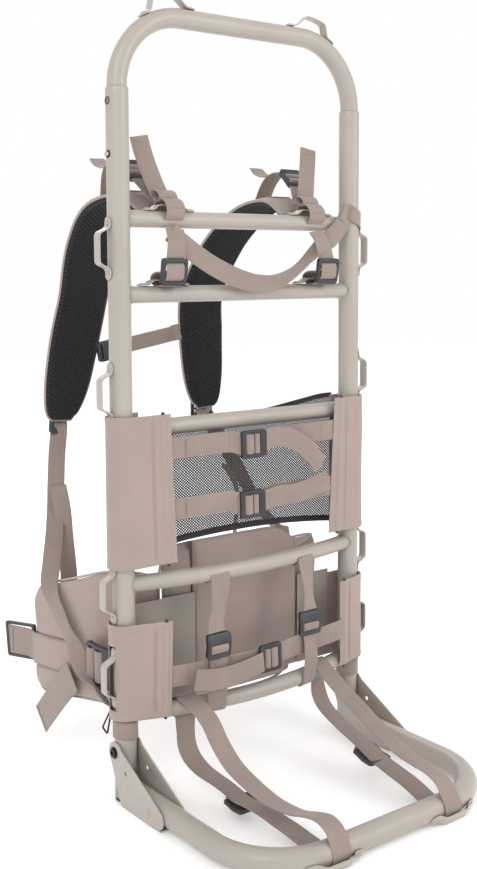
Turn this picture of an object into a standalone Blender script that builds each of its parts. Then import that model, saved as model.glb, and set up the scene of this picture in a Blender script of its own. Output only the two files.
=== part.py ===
"""External pack frame: two uprights, five crossbars, a sliding top hoop, a folding shelf and a harness.

X is the width, -Y the load side where the shelf lies, +Y the wearer's side, +Z up from the floor.
The origin is on the floor, midway between the uprights.
"""
import math

import bmesh
import bpy
from mathutils import Matrix, Vector

# ---- Driving dimensions (metres) ----
GAP = 0.0003                 # running gap between touching pieces
HALF_WIDTH = 0.171           # upright centres from the middle
UPRIGHT_R, UPRIGHT_WALL = 0.0127, 0.0012
UPRIGHT_TOP = 0.801
FOOT_H = 0.004
BAR_R, TUBE_WALL = 0.0095, 0.0015
BAR_Z = (0.660, 0.576, 0.425, 0.250, 0.100)
BAR_BOW = (0.0, 0.0, 0.0, 0.024, 0.036)      # how far the middle of each bar stands towards the load
HOOP_R, HOOP_TOP, HOOP_CORNER, HOOP_BOTTOM = 0.0111, 0.884, 0.082, 0.700
BUTTON_Z, SPARE_HOLE_Z, BUTTON_R, BUTTON_HOLE_R = 0.729, 0.786, 0.0031, 0.0036
SHELF_R, SHELF_Z, SHELF_DEPTH, SHELF_CORNER = 0.0127, 0.015, 0.2525, 0.083
SHELF_START = 0.016          # shelf tube ends in front of the uprights' centres
PIVOT_Z, PIVOT_R, PIVOT_HOLE_R = 0.058, 0.0030, 0.0033
PLATE_T = 0.002              # sheet of the hinge brackets
STRIP_T, STRIP_W = 0.0016, 0.012             # bent strip of the lash brackets
RIVET_PITCH, RIVET_R, RIVET_H = 0.057, 0.0035, 0.0012
LASH_RISE, LOW_RISE = 0.0135, 0.0052         # how far a bracket's bridge stands off its tube
SIDE_LASH_Z = (0.627, 0.4675, 0.241, 0.145)
BAR1_BRACKET_X, BAR2_BRACKET_X, SHELF_BRACKET_X = 0.105, 0.113, 0.085
SHELF_BRACKET_TILT = math.radians(29)        # below the horizontal, on the front bar
WEB_T, WEB_W = 0.0014, 0.025                 # webbing
ANCHOR_LOOP_Z, ANCHOR_LOOP_W = 0.0815, 0.017  # loop round each upright that ends the lower webbing
CLOTH_T, SLEEVE_R = 0.0014, 0.0176           # fabric bands and the sleeve that they make round an upright
UPPER_BAND_Z, UPPER_FLAPS = (0.270, 0.4415), (-0.106, 0.126)
LOWER_BAND_Z, LOWER_FLAPS = (0.097, 0.207), (-0.118, 0.131)
PAD_T, WING_T = 0.011, 0.012

SIDES = (("left", -1), ("right", 1))

TUBE_PAINT = ("tube_paint", (0.62, 0.57, 0.49), 0.42, 0.35)
BRACKET_PAINT = ("bracket_paint", (0.66, 0.61, 0.53), 0.40, 0.35)
BLACK_PLASTIC = ("black_plastic", (0.035, 0.034, 0.036), 0.45, 0.0)
DARK_STEEL = ("dark_steel", (0.05, 0.05, 0.055), 0.35, 0.9)
SPRING_STEEL = ("spring_steel", (0.55, 0.55, 0.55), 0.28, 1.0)
FABRIC = ("pack_fabric", (0.48, 0.39, 0.34), 0.85, 0.0)
WEBBING = ("webbing", (0.40, 0.33, 0.28), 0.80, 0.0)
PAD_MESH = ("spacer_mesh", (0.02, 0.02, 0.022), 0.9, 0.0)


def clear_scene():
    for old in list(bpy.data.objects):
        bpy.data.objects.remove(old, do_unlink=True)
    for name in ("pack_frame", "cutters"):
        group = bpy.data.collections.get(name) or bpy.data.collections.new(name)
        if group.name not in bpy.context.scene.collection.children:
            bpy.context.scene.collection.children.link(group)


def material(spec):
    name, colour, roughness, metallic = spec
    mat = bpy.data.materials.get(name) or bpy.data.materials.new(name)
    mat.use_nodes = True
    shader = mat.node_tree.nodes["Principled BSDF"]
    shader.inputs["Base Color"].default_value = (*colour, 1.0)
    shader.inputs["Roughness"].default_value = roughness
    shader.inputs["Metallic"].default_value = metallic
    return mat


def add_object(name, mesh, spec=None):
    """Link a mesh as a part with its material, or as a hidden cutter when it has none."""
    obj = bpy.data.objects.new(name, mesh)
    if spec:
        mesh.materials.clear()
        mesh.materials.append(material(spec))
        bpy.data.collections["pack_frame"].objects.link(obj)
        return obj
    obj.hide_render = True
    obj.display_type = "WIRE"
    bpy.data.collections["cutters"].objects.link(obj)
    return obj


def boolean(obj, cutter, operation="DIFFERENCE"):
    mod = obj.modifiers.new(operation.lower(), "BOOLEAN")
    mod.operation = operation
    mod.object = cutter


def solidify(obj, thickness, offset):
    mod = obj.modifiers.new("solidify", "SOLIDIFY")
    mod.thickness = thickness
    mod.offset = offset
    mod.use_even_offset = True


def smooth(mesh):
    mesh.shade_smooth()
    mesh.set_sharp_from_angle(angle=math.radians(35))


def curve_mesh(name, points, radius, resolution, caps=True):
    """Mesh of a round bar, or of a bare pipe skin without caps, along a poly curve."""
    data = bpy.data.curves.new(name, "CURVE")
    data.dimensions = "3D"
    data.bevel_depth = radius
    data.bevel_resolution = resolution
    data.use_fill_caps = caps
    spline = data.splines.new("POLY")
    spline.points.add(len(points) - 1)
    for point, place in zip(spline.points, points):
        point.co = (*place, 1.0)
    guide = bpy.data.objects.new(name + "_guide", data)
    bpy.context.scene.collection.objects.link(guide)
    bpy.context.view_layer.update()
    mesh = bpy.data.meshes.new_from_object(guide.evaluated_get(bpy.context.evaluated_depsgraph_get()))
    bpy.data.objects.remove(guide, do_unlink=True)
    bm = bmesh.new()
    bm.from_mesh(mesh)
    bmesh.ops.remove_doubles(bm, verts=bm.verts, dist=0.00001)
    bm.to_mesh(mesh)
    bm.free()
    smooth(mesh)
    return mesh


def pipe(name, points, radius, wall, spec, resolution=6):
    obj = add_object(name, curve_mesh(name, points, radius, resolution, caps=False), spec)
    solidify(obj, wall, -1.0)
    return obj


def rod_cutter(name, start, end, radius, resolution=4):
    return add_object(name, curve_mesh(name, (start, end), radius, resolution))


def box_mesh(name, low, high):
    mesh = bpy.data.meshes.new(name)
    bm = bmesh.new()
    size = Vector(high) - Vector(low)
    centre = (Vector(high) + Vector(low)) / 2
    bmesh.ops.create_cube(bm, size=1.0, matrix=Matrix.Translation(centre) @ Matrix.Diagonal((*size, 1.0)))
    bm.to_mesh(mesh)
    bm.free()
    return mesh


def turned(name, profile, place, spec, steps=20):
    """Turn (radius, height) points, listed top to bottom down the outer side, about +Z at place."""
    mesh = bpy.data.meshes.new(name)
    mesh.from_pydata([(r, 0.0, z) for r, z in profile], [(i, i + 1) for i in range(len(profile) - 1)], [])
    obj = add_object(name, mesh, spec)
    obj.location = place
    screw = obj.modifiers.new("screw", "SCREW")
    screw.steps = screw.render_steps = steps
    screw.use_merge_vertices = True
    screw.merge_threshold = 0.00001
    return obj


def rounded(points, count):
    """Points of a smooth curve through the given ones, count of them for each stretch."""
    knots = [Vector(p) for p in points]
    knots = [2 * knots[0] - knots[1], *knots, 2 * knots[-1] - knots[-2]]
    route = []
    for a, b, c, d in zip(knots, knots[1:], knots[2:], knots[3:]):
        for step in range(count):
            t = step / count
            route.append(0.5 * (2 * b + (c - a) * t + (2 * a - 5 * b + 4 * c - d) * t * t
                                + (3 * b - a - 3 * c + d) * t ** 3))
    return [*route, knots[-2]]


def arc(centre, radius, start, end, count):
    """Points (u, v) on an arc, with its angles in degrees."""
    turn = [math.radians(start + (end - start) * i / count) for i in range(count + 1)]
    return [(centre[0] + radius * math.cos(t), centre[1] + radius * math.sin(t)) for t in turn]


def ribbon(name, rows, thickness, spec):
    """Strip through rows of (centre, direction across, width), made solid about its middle."""
    bm = bmesh.new()
    ends = []
    for centre, across, width in rows:
        half = Vector(across).normalized() * width / 2
        ends.append((Vector(centre) - half, Vector(centre) + half))
    first = [bm.verts.new(p) for p in ends[0]]
    edge = bm.edges.new(first)
    tips = first
    for low, high in ends[1:]:
        made = bmesh.ops.extrude_edge_only(bm, edges=[edge])["geom"]
        edge = next(g for g in made if isinstance(g, bmesh.types.BMEdge) and all(v not in tips for v in g.verts))
        old_low = tips[0]
        new = [v for v in made if isinstance(v, bmesh.types.BMVert)]
        new.sort(key=lambda v: (v.co - old_low.co).length)
        new[0].co, new[1].co = low, high
        tips = new
    mesh = bpy.data.meshes.new(name)
    bmesh.ops.recalc_face_normals(bm, faces=bm.faces)
    bm.to_mesh(mesh)
    bm.free()
    smooth(mesh)
    obj = add_object(name, mesh, spec)
    solidify(obj, thickness, 0.0)
    return obj


def flat_ribbon(name, points, across, width, thickness, spec):
    return ribbon(name, [(p, across, width) for p in points], thickness, spec)


# ---- Frame tubes ----
def bar_y(index, x):
    """Centre line of a crossbar: a shallow bow towards the load."""
    return -BAR_BOW[index] * (1 - (x / HALF_WIDTH) ** 2)


def make_uprights():
    for side, sign in SIDES:
        x = sign * HALF_WIDTH
        base = FOOT_H + GAP
        upright = pipe(f"upright_{side}", [(x, 0, base), (x, 0, UPRIGHT_TOP)], UPRIGHT_R, UPRIGHT_WALL,
                       TUBE_PAINT, 8)
        outside = sign * (HALF_WIDTH + UPRIGHT_R + 0.005)
        for label, z in (("button", BUTTON_Z), ("spare", SPARE_HOLE_Z)):
            cutter = rod_cutter(f"{label}_hole_{side}", (x, 0, z), (outside, 0, z), BUTTON_HOLE_R)
            boolean(upright, cutter)
        bolt_way = rod_cutter(f"pivot_hole_{side}", (x - 0.05, 0, PIVOT_Z), (x + 0.05, 0, PIVOT_Z), PIVOT_HOLE_R)
        boolean(upright, bolt_way)
        plug_r = UPRIGHT_R - UPRIGHT_WALL - 0.0005
        turned(f"foot_plug_{side}", [(0, 0.022), (plug_r - 0.001, 0.022), (plug_r, 0.020), (plug_r, FOOT_H),
                                     (UPRIGHT_R, FOOT_H), (UPRIGHT_R, 0.001), (UPRIGHT_R - 0.001, 0), (0, 0)],
               (x, 0, 0), BLACK_PLASTIC)


def make_crossbars():
    for index, z in enumerate(BAR_Z):
        count = 10 if BAR_BOW[index] else 1
        xs = [HALF_WIDTH * (2 * i / count - 1) for i in range(count + 1)]
        bar = pipe(f"crossbar_{index + 1}", [(x, bar_y(index, x), z) for x in xs], BAR_R, TUBE_WALL, TUBE_PAINT)
        for side, sign in SIDES:
            x = sign * HALF_WIDTH
            cope = rod_cutter(f"cope_{index + 1}_{side}", (x, 0, z - 0.04), (x, 0, z + 0.04), UPRIGHT_R + GAP, 8)
            boolean(bar, cope)


def make_hoop():
    inner = HALF_WIDTH - HOOP_CORNER
    level = HOOP_TOP - HOOP_CORNER
    path = [(HALF_WIDTH, HOOP_BOTTOM), *arc((inner, level), HOOP_CORNER, 0, 90, 10),
            *arc((-inner, level), HOOP_CORNER, 90, 180, 10), (-HALF_WIDTH, HOOP_BOTTOM)]
    hoop = pipe("top_hoop", [(x, 0, z) for x, z in path], HOOP_R, TUBE_WALL, TUBE_PAINT)
    for side, sign in SIDES:
        x = sign * HALF_WIDTH
        cutter = rod_cutter(f"hoop_hole_{side}", (x, 0, BUTTON_Z), (x + sign * 0.02, 0, BUTTON_Z), BUTTON_HOLE_R)
        boolean(hoop, cutter)


def make_snap_buttons():
    """A bent leaf inside each hoop leg carries the button that locks the leg in its upright."""
    for side, sign in SIDES:
        x = sign * HALF_WIDTH
        leaf = [(0.0078, BUTTON_Z + 0.006), (0.0078, BUTTON_Z - 0.006), (0.0050, BUTTON_Z - 0.020),
                (0.0025, BUTTON_Z - 0.022), (0.0005, BUTTON_Z - 0.020), (-0.0010, BUTTON_Z - 0.004)]
        clip = flat_ribbon(f"snap_button_{side}", [(x + sign * u, 0, z) for u, z in leaf], (0, 1, 0), 0.007,
                           0.0006, SPRING_STEEL)
        button = rod_cutter(f"button_stud_{side}", (x + sign * 0.0077, 0, BUTTON_Z),
                            (x + sign * (UPRIGHT_R + 0.0021), 0, BUTTON_Z), BUTTON_R)
        boolean(clip, button, "UNION")


# ---- Bent strip brackets ----
def strip_bracket(name, points, out_axis, across, rivets):
    """Bent strip with two riveted feet; points run along it, out_axis gives each rivet's direction."""
    strip = flat_ribbon(name, points, across, STRIP_W, STRIP_T, BRACKET_PAINT)
    for index, (place, out) in enumerate(zip(rivets, out_axis)):
        place, out = Vector(place), Vector(out)
        rivet = rod_cutter(f"{name}_rivet_{index}", place, place + out * (STRIP_T / 2 + RIVET_H), RIVET_R, 2)
        boolean(strip, rivet, "UNION")


def tube_bracket(name, centre, along, out, tube_r, rise):
    """Bracket on a straight tube: centre is on the tube's axis, along runs down the tube."""
    centre, along, out = Vector(centre), Vector(along), Vector(out)
    base = tube_r + GAP + STRIP_T / 2
    half = RIVET_PITCH / 2
    points = [centre + along * u + out * (base + v) for u, v in bridge_profile(rise)]
    rivets = [centre + along * u + out * base for u in (-half, half)]
    strip_bracket(name, points, (out, out), along.cross(out), rivets)


def make_brackets():
    for side, sign in SIDES:
        for index, z in enumerate(SIDE_LASH_Z):
            tube_bracket(f"lash_bracket_{side}_{index + 1}", (sign * HALF_WIDTH, 0, z), (0, 0, 1),
                         (sign, 0, 0), UPRIGHT_R, LASH_RISE)
        tube_bracket(f"bar_1_bracket_{side}", (sign * BAR1_BRACKET_X, 0, BAR_Z[0]), (1, 0, 0), (0, 0, 1),
                     BAR_R, LOW_RISE)
        tube_bracket(f"bar_2_bracket_{side}", (sign * BAR2_BRACKET_X, 0, BAR_Z[1]), (1, 0, 0), (0, 0, 1),
                     BAR_R, LOW_RISE)
        shelf_bracket(f"shelf_bracket_{side}", sign)
        hoop_bracket(f"hoop_bracket_{side}", sign)


def bridge_profile(rise):
    """(along, off the tube) points of a bracket's strip, from foot to foot."""
    half = RIVET_PITCH / 2
    return [(-half - 0.006, 0), (-half + 0.006, 0), (-half + 0.012, rise), (half - 0.012, rise),
            (half - 0.006, 0), (half + 0.006, 0)]


def shelf_bracket(name, sign):
    """Bracket low on the shelf's front, whose outer foot follows the bend."""
    base = SHELF_R + GAP + STRIP_T / 2
    straight = HALF_WIDTH - SHELF_CORNER

    def place(along, off):
        x = SHELF_BRACKET_X + along
        bend = max(0.0, x - straight) / SHELF_CORNER
        level = Vector((math.sin(bend), -math.cos(bend), 0))
        foot = Vector((min(x, straight), SHELF_CORNER - SHELF_DEPTH, SHELF_Z)) + level * SHELF_CORNER
        out = level * math.cos(SHELF_BRACKET_TILT) - Vector((0, 0, math.sin(SHELF_BRACKET_TILT)))
        mirror = Vector((sign, 1, 1))
        return (foot + out * (base + off)) * mirror, out * mirror, level

    ends = [place(u, 0) for u in (-RIVET_PITCH / 2, RIVET_PITCH / 2)]
    drop = (0, -math.sin(SHELF_BRACKET_TILT), math.cos(SHELF_BRACKET_TILT))
    strip_bracket(name, [place(u, v)[0] for u, v in bridge_profile(LOW_RISE)], [e[1] for e in ends], drop,
                  [e[0] for e in ends])


def hoop_bracket(name, sign):
    """One foot on the hoop's bend and one on its straight top."""
    centre = (-(HALF_WIDTH - HOOP_CORNER), HOOP_TOP - HOOP_CORNER)
    base = HOOP_CORNER + HOOP_R + GAP + STRIP_T / 2
    top = centre[1] + base
    foot_end = centre[0] + 0.021
    profile = [*arc(centre, base, 124, 115, 2), *arc(centre, base + LASH_RISE, 110, 94, 2),
               (foot_end - 0.012, top), (foot_end, top)]
    rivet_at = arc(centre, base, 119.5, 90, 1)[0]
    lean = Vector((rivet_at[0] - centre[0], 0, rivet_at[1] - centre[1])).normalized()
    mirror = Vector((-sign, 1, 1))
    points = [Vector((x, 0, z)) * mirror for x, z in profile]
    rivets = [Vector((rivet_at[0], 0, rivet_at[1])) * mirror, Vector((foot_end - 0.006, 0, top)) * mirror]
    strip_bracket(name, points, (lean * mirror, Vector((0, 0, 1))), (0, 1, 0), rivets)


# ---- Folding shelf ----
def make_shelf():
    corner_x, corner_y = HALF_WIDTH - SHELF_CORNER, -(SHELF_DEPTH - SHELF_CORNER)
    path = [(HALF_WIDTH, -SHELF_START), *arc((corner_x, corner_y), SHELF_CORNER, 0, -90, 10),
            *arc((-corner_x, corner_y), SHELF_CORNER, -90, -180, 10), (-HALF_WIDTH, -SHELF_START)]
    pipe("shelf_tube", [(x, y, SHELF_Z) for x, y in path], SHELF_R, TUBE_WALL, TUBE_PAINT)
    for side, sign in SIDES:
        make_hinge(side, sign)


def make_hinge(side, sign):
    """Channel bracket round the shelf arm: two cheeks that straddle the upright, and a web below the arm."""
    x = sign * HALF_WIDTH
    outline = [*arc((-0.001, PIVOT_Z), 0.0125, -20, 150, 10), *arc((-0.088, 0.013), 0.0105, 130, 250, 6),
               (-0.078, 0.0), (-0.014, 0.0), (-0.0105, 0.006)]
    data = bpy.data.curves.new(f"cheek_{side}", "CURVE")
    data.dimensions = "2D"
    data.fill_mode = "BOTH"
    data.extrude = UPRIGHT_R + 0.0006 + PLATE_T
    spline = data.splines.new("POLY")
    spline.use_cyclic_u = True
    spline.points.add(len(outline) - 1)
    for point, (y, z) in zip(spline.points, outline):
        point.co = (y, z, 0, 1)
    guide = bpy.data.objects.new(f"cheek_guide_{side}", data)
    guide.matrix_world = Matrix(((0, 0, 1, x), (1, 0, 0, 0), (0, 1, 0, 0), (0, 0, 0, 1)))
    bpy.context.scene.collection.objects.link(guide)
    bpy.context.view_layer.update()
    mesh = bpy.data.meshes.new_from_object(guide.evaluated_get(bpy.context.evaluated_depsgraph_get()))
    mesh.transform(guide.matrix_world)
    bpy.data.objects.remove(guide, do_unlink=True)
    bm = bmesh.new()
    bm.from_mesh(mesh)
    bmesh.ops.remove_doubles(bm, verts=bm.verts, dist=0.00001)
    bmesh.ops.recalc_face_normals(bm, faces=bm.faces)
    bm.to_mesh(mesh)
    bm.free()
    bracket = add_object(f"hinge_bracket_{side}", mesh, BRACKET_PAINT)
    half = UPRIGHT_R + 0.0006
    web = 0.0018
    boolean(bracket, add_object(f"channel_{side}", box_mesh(f"channel_{side}", (x - half, -0.13, web),
                                                            (x + half, 0.03, 0.09))))
    boolean(bracket, add_object(f"web_end_{side}", box_mesh(f"web_end_{side}", (x - half, -0.034, -0.01),
                                                            (x + half, 0.03, 0.01))))
    for label, (y, z, radius) in (("pivot", (0, PIVOT_Z, PIVOT_HOLE_R)), ("lock", (-0.0235, 0.041, 0.0026))):
        cutter = rod_cutter(f"{label}_way_{side}", (x - 0.03, y, z), (x + 0.03, y, z), radius)
        boolean(bracket, cutter)
    reach = UPRIGHT_R + 0.0006 + PLATE_T + GAP
    bolt = add_object(f"pivot_bolt_{side}", curve_mesh(f"pivot_bolt_{side}", ((x - reach - 0.001, 0, PIVOT_Z),
                                                                          (x + reach + 0.001, 0, PIVOT_Z)),
                                                   PIVOT_R, 3), DARK_STEEL)
    for end, direction in (("head", -1), ("nut", 1)):
        head = rod_cutter(f"bolt_{end}_{side}", (x + direction * reach, 0, PIVOT_Z),
                          (x + direction * (reach + 0.003), 0, PIVOT_Z), 0.0058)
        boolean(bolt, head, "UNION")


# ---- Fabric bands round the uprights ----
def make_band(name, levels, flaps, flare):
    """One cloth band: a flap on the load side, round one upright, across the back and round the other."""
    turns = 10
    left = arc((-HALF_WIDTH, 0), SLEEVE_R, 270 - flare, 90, turns)
    right = arc((HALF_WIDTH, 0), SLEEVE_R, 90, -90 + flare, turns)
    slope = math.tan(math.radians(flare))
    start = (flaps[0], left[0][1] - slope * (flaps[0] - left[0][0]))
    end = (flaps[1], right[-1][1] - slope * (right[-1][0] - flaps[1]))
    middle = (levels[0] + levels[1]) / 2
    path = [(x, y, middle) for x, y in (start, *left, *right, end)]
    return flat_ribbon(name, path, (0, 0, 1), levels[1] - levels[0], CLOTH_T, FABRIC)


def make_bands():
    make_band("back_band_upper", UPPER_BAND_Z, UPPER_FLAPS, 0.0)
    lower = make_band("back_band_lower", LOWER_BAND_Z, LOWER_FLAPS, 14.0)
    z = SIDE_LASH_Z[3]
    for side, sign in SIDES:
        slot = box_mesh(f"bracket_slot_{side}", (sign * HALF_WIDTH + min(0, sign * 0.03), -0.0075, z - 0.037),
                        (sign * HALF_WIDTH + max(0, sign * 0.03), 0.0075, z + 0.037))
        boolean(lower, add_object(f"bracket_slot_{side}", slot))


def make_band_straps():
    """Straps that pull each band's two flaps together, with a ladder-lock near the middle."""
    rows = (("upper_1", 0.4015, UPPER_FLAPS, -0.0170, 0.000), ("upper_2", 0.3310, UPPER_FLAPS, -0.0170, -0.003),
            ("lower", 0.1450, LOWER_FLAPS, -0.0335, 0.006))
    for label, z, flaps, y, lock_x in rows:
        inset = GAP + 0.0004
        left, right = (flaps[0] + inset, y, z), (flaps[1] - inset, y, z)
        flat_ribbon(f"band_strap_{label}", (left, right), (0, 0, 1), WEB_W, WEB_T, WEBBING)
        near, far = y - WEB_T / 2 - GAP, y - WEB_T / 2 - GAP - 0.0055
        lock = box_mesh(f"ladder_lock_{label}", (lock_x - 0.0155, far, z - 0.0165),
                        (lock_x + 0.0155, near, z + 0.0165))
        add_object(f"ladder_lock_{label}", lock, BLACK_PLASTIC)


# ---- Pads and belt ----
def make_lumbar_pad():
    mesh = box_mesh("lumbar_pad", (-0.106, SLEEVE_R + CLOTH_T / 2 + 0.0008, 0.075), (0.106, 0.043, 0.285))
    pad = add_object("lumbar_pad", mesh, FABRIC)
    bevel = pad.modifiers.new("bevel", "BEVEL")
    bevel.width = 0.008
    bevel.segments = 2


def make_belt():
    """Each wing leaves the lumbar pad's side and turns forwards round the hip."""
    rows = (((0.1066, 0.033), 0.085, 0.248), ((0.126, 0.035), 0.088, 0.251), ((0.148, 0.046), 0.090, 0.253),
            ((0.161, 0.072), 0.090, 0.247), ((0.168, 0.120), 0.083, 0.231), ((0.172, 0.165), 0.072, 0.217),
            ((0.1725, 0.196), 0.070, 0.206), ((0.172, 0.211), 0.085, 0.190))
    for side, sign in SIDES:
        ribbon(f"belt_wing_{side}", [((sign * x, y, (low + high) / 2), (0, 0, 1), high - low)
                                     for (x, y), low, high in rows], WING_T, FABRIC)
        buckle = [(sign * 0.1722, 0.2128, 0.127), (sign * 0.179, 0.240, 0.124), (sign * 0.1855, 0.2718, 0.121)]
        flat_ribbon(f"belt_buckle_{side}", buckle, (0, 0, 1), 0.042, 0.008, BLACK_PLASTIC)


def make_shoulder_pads():
    knots = ((0.105, 0.0225, 0.6715, 0.052), (0.107, 0.060, 0.6900, 0.060), (0.110, 0.122, 0.6790, 0.068),
             (0.102, 0.178, 0.6350, 0.070), (0.094, 0.216, 0.5700, 0.070), (0.101, 0.229, 0.5120, 0.070),
             (0.109, 0.236, 0.4570, 0.064), (0.1155, 0.240, 0.4220, 0.048), (0.1165, 0.241, 0.4080, 0.030))
    for side, sign in SIDES:
        centres = rounded([(sign * x, y, z) for x, y, z, _ in knots], 2)
        widths = [w.x for w in rounded([(w, 0, 0) for *_, w in knots], 2)]
        ribbon(f"shoulder_pad_{side}", [(c, (1, 0, 0), w) for c, w in zip(centres, widths)], PAD_T, PAD_MESH)


# ---- Webbing ----
def make_shoulder_webbing():
    for side, sign in SIDES:
        lifter = [(0.125, 0.0270, 0.7530), (0.119, 0.0225, 0.7250), (0.111, 0.0150, 0.6970), (0.108, 0.0135, 0.6860),
                  (0.108, 0.0190, 0.6835), (0.113, 0.0290, 0.6965), (0.121, 0.0490, 0.7176), (0.122, 0.080, 0.7200),
                  (0.119, 0.110, 0.7050), (0.117, 0.122, 0.6900)]
        flat_ribbon(f"load_lifter_{side}", [(sign * x, y, z) for x, y, z in lifter], (1, 0, 0), WEB_W, WEB_T,
                    WEBBING)
        run = rounded([(0.1195, 0.2440, 0.3980), (0.1300, 0.2330, 0.3500), (0.1500, 0.1950, 0.2780),
                       (0.1875, 0.1480, 0.2160), (0.1815, 0.0950, 0.1580), (0.1840, 0.0500, 0.1080),
                       (0.1865, 0.0240, 0.0860)], 2)
        rows = [((sign * p.x, p.y, p.z), (sign, 0.25, 0) if i < 5 else (0.15 * sign, 1, 0.55), WEB_W * 0.9)
                for i, p in enumerate(run)]
        ribbon(f"lower_webbing_{side}", rows, WEB_T, WEBBING)
        loop = arc((0, 0), UPRIGHT_R + GAP + WEB_T, 55, -245, 12)
        rows = [((sign * (HALF_WIDTH + u), v, ANCHOR_LOOP_Z), (0, 0, 1), ANCHOR_LOOP_W) for u, v in loop]
        ribbon(f"anchor_loop_{side}", rows, WEB_T, WEBBING)


def make_haul_strap():
    route = rounded([(-0.108, -0.0125, 0.6400), (-0.0656, -0.0165, 0.6120), (0.0106, -0.0210, 0.5860),
                     (0.0955, -0.0165, 0.6150), (0.1460, -0.0135, 0.6560)], 3)
    rows = []
    for before, here, after in zip([route[0], *route], route, [*route[1:], route[-1]]):
        run = (after - before).normalized()
        rows.append((here, (-run.z, 0, run.x), WEB_W * 0.9))
    ribbon("haul_strap", rows, WEB_T, WEBBING)


def make_sternum_strap():
    route = [(-0.0625, 0.2290, 0.4960), (0.0, 0.2310, 0.5060), (0.0625, 0.2290, 0.5170)]
    flat_ribbon("sternum_strap", route, (-0.16, 0, 1), 0.020, 0.002, WEBBING)


def bar_slope(index, x):
    """Direction along a crossbar at x."""
    return (1, 2 * BAR_BOW[index] * x / HALF_WIDTH ** 2, 0)


def make_load_straps():
    """Two upright straps between crossbars 4 and 5, and two loops from crossbar 5 round the shelf's front."""
    wrap = BAR_R + GAP + WEB_T / 2 + 0.0005
    for side, sign in SIDES:
        x = sign * 0.071
        upper, lower = (bar_y(3, x), BAR_Z[3]), (bar_y(4, x), BAR_Z[4])
        rows = [((x, y, z), bar_slope(3, x), WEB_W) for y, z in arc(upper, wrap, -20, 180, 10)]
        rows += [((x, y, z), bar_slope(4, x), WEB_W) for y, z in arc(lower, wrap, 180, 380, 10)]
        ribbon(f"upright_strap_{side}", rows, WEB_T, WEBBING)
    front = SHELF_R + GAP + WEB_T / 2 + 0.0003
    for side, back_x, front_x in (("left", -0.1035, -0.080), ("right", 0.098, 0.083)):
        bar, tilt = (bar_y(4, back_x), BAR_Z[4]), bar_slope(4, back_x)
        run, loose = bar[0] + SHELF_DEPTH, wrap + 0.0007
        rows = [((back_x, y, z), tilt, WEB_W) for y, z in arc(bar, loose, 20, 110, 5)]
        path = [(-0.100, 0.086), (-0.165, 0.066), (-0.225, 0.0420),
                *arc((-SHELF_DEPTH, SHELF_Z), front, 80, 265, 10), (-0.215, 0.0085), (-0.150, 0.0260),
                (-0.085, 0.0560)]
        for y, z in path:
            share = min(1.0, (bar[0] - y) / run)
            rows.append(((back_x + (front_x - back_x) * share, y, z), (1, 0, 0), WEB_W))
        rows += [((back_x, y, z), tilt, WEB_W) for y, z in arc(bar, loose, 250, 345, 5)]
        ribbon(f"shelf_strap_{side}", rows, WEB_T, WEBBING)


clear_scene()
make_uprights()
make_crossbars()
make_hoop()
make_snap_buttons()
make_brackets()
make_shelf()
make_bands()
make_band_straps()
make_lumbar_pad()
make_belt()
make_shoulder_pads()
make_shoulder_webbing()
make_haul_strap()
make_sternum_strap()
make_load_straps()
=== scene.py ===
"""Looks of the external pack frame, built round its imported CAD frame.

Metres. X is the width, -Y the load side with the shelf, +Y the wearer's side, +Z up from the floor.
"""
import math

import bmesh
import bpy
import numpy as np
from mathutils import Matrix, Vector, noise


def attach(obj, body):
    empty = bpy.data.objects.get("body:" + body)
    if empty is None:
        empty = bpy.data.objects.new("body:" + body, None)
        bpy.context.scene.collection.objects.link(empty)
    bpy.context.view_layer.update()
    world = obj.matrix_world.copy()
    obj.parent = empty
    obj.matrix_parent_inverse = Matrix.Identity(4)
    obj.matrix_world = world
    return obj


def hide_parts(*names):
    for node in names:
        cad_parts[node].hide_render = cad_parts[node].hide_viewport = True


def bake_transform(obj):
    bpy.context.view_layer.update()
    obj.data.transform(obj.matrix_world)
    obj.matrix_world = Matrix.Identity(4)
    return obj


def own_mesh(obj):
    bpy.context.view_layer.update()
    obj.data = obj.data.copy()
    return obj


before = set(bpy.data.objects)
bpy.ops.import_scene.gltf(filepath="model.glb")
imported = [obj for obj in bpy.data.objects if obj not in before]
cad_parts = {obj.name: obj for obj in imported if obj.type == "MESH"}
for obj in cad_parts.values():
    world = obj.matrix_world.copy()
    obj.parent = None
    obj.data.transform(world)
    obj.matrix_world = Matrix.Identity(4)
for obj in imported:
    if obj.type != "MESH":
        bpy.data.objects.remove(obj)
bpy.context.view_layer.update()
SIDES = (("left", -1), ("right", 1))

# ---- The CAD's dimensions that the details hang on ----
HALF_WIDTH, UPRIGHT_R, UPRIGHT_TOP = 0.171, 0.0127, 0.801
BAR_R, BAR_Z, BAR_BOW = 0.0095, (0.660, 0.576, 0.425, 0.250, 0.100), (0.0, 0.0, 0.0, 0.024, 0.036)
HOOP_R, HOOP_TOP, HOOP_CORNER, HOOP_BOTTOM = 0.0111, 0.884, 0.082, 0.700
BUTTON_Z, SPARE_HOLE_Z, HOLE_R = 0.729, 0.786, 0.0036
SHELF_R, SHELF_Z, SHELF_DEPTH, SHELF_CORNER, SHELF_START = 0.0127, 0.015, 0.2525, 0.083, 0.016
PIVOT_Z, STRIP_T, STRIP_W, RIVET_PITCH = 0.058, 0.0016, 0.012, 0.057
LASH_RISE, LOW_RISE, SIDE_LASH_Z = 0.0135, 0.0052, (0.627, 0.4675, 0.241, 0.145)
BAR1_BRACKET_X, BAR2_BRACKET_X, SHELF_BRACKET_X = 0.105, 0.113, 0.085
SHELF_TILT = math.radians(29)
ANCHOR_LOOP_Z, ANCHOR_LOOP_W = 0.0815, 0.0205
WEB_T, WEB_W, SLEEVE_R, GAP = 0.0014, 0.025, 0.0176, 0.0003
BELT_W, SEAM_INSET = 0.038, 0.0022


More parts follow.
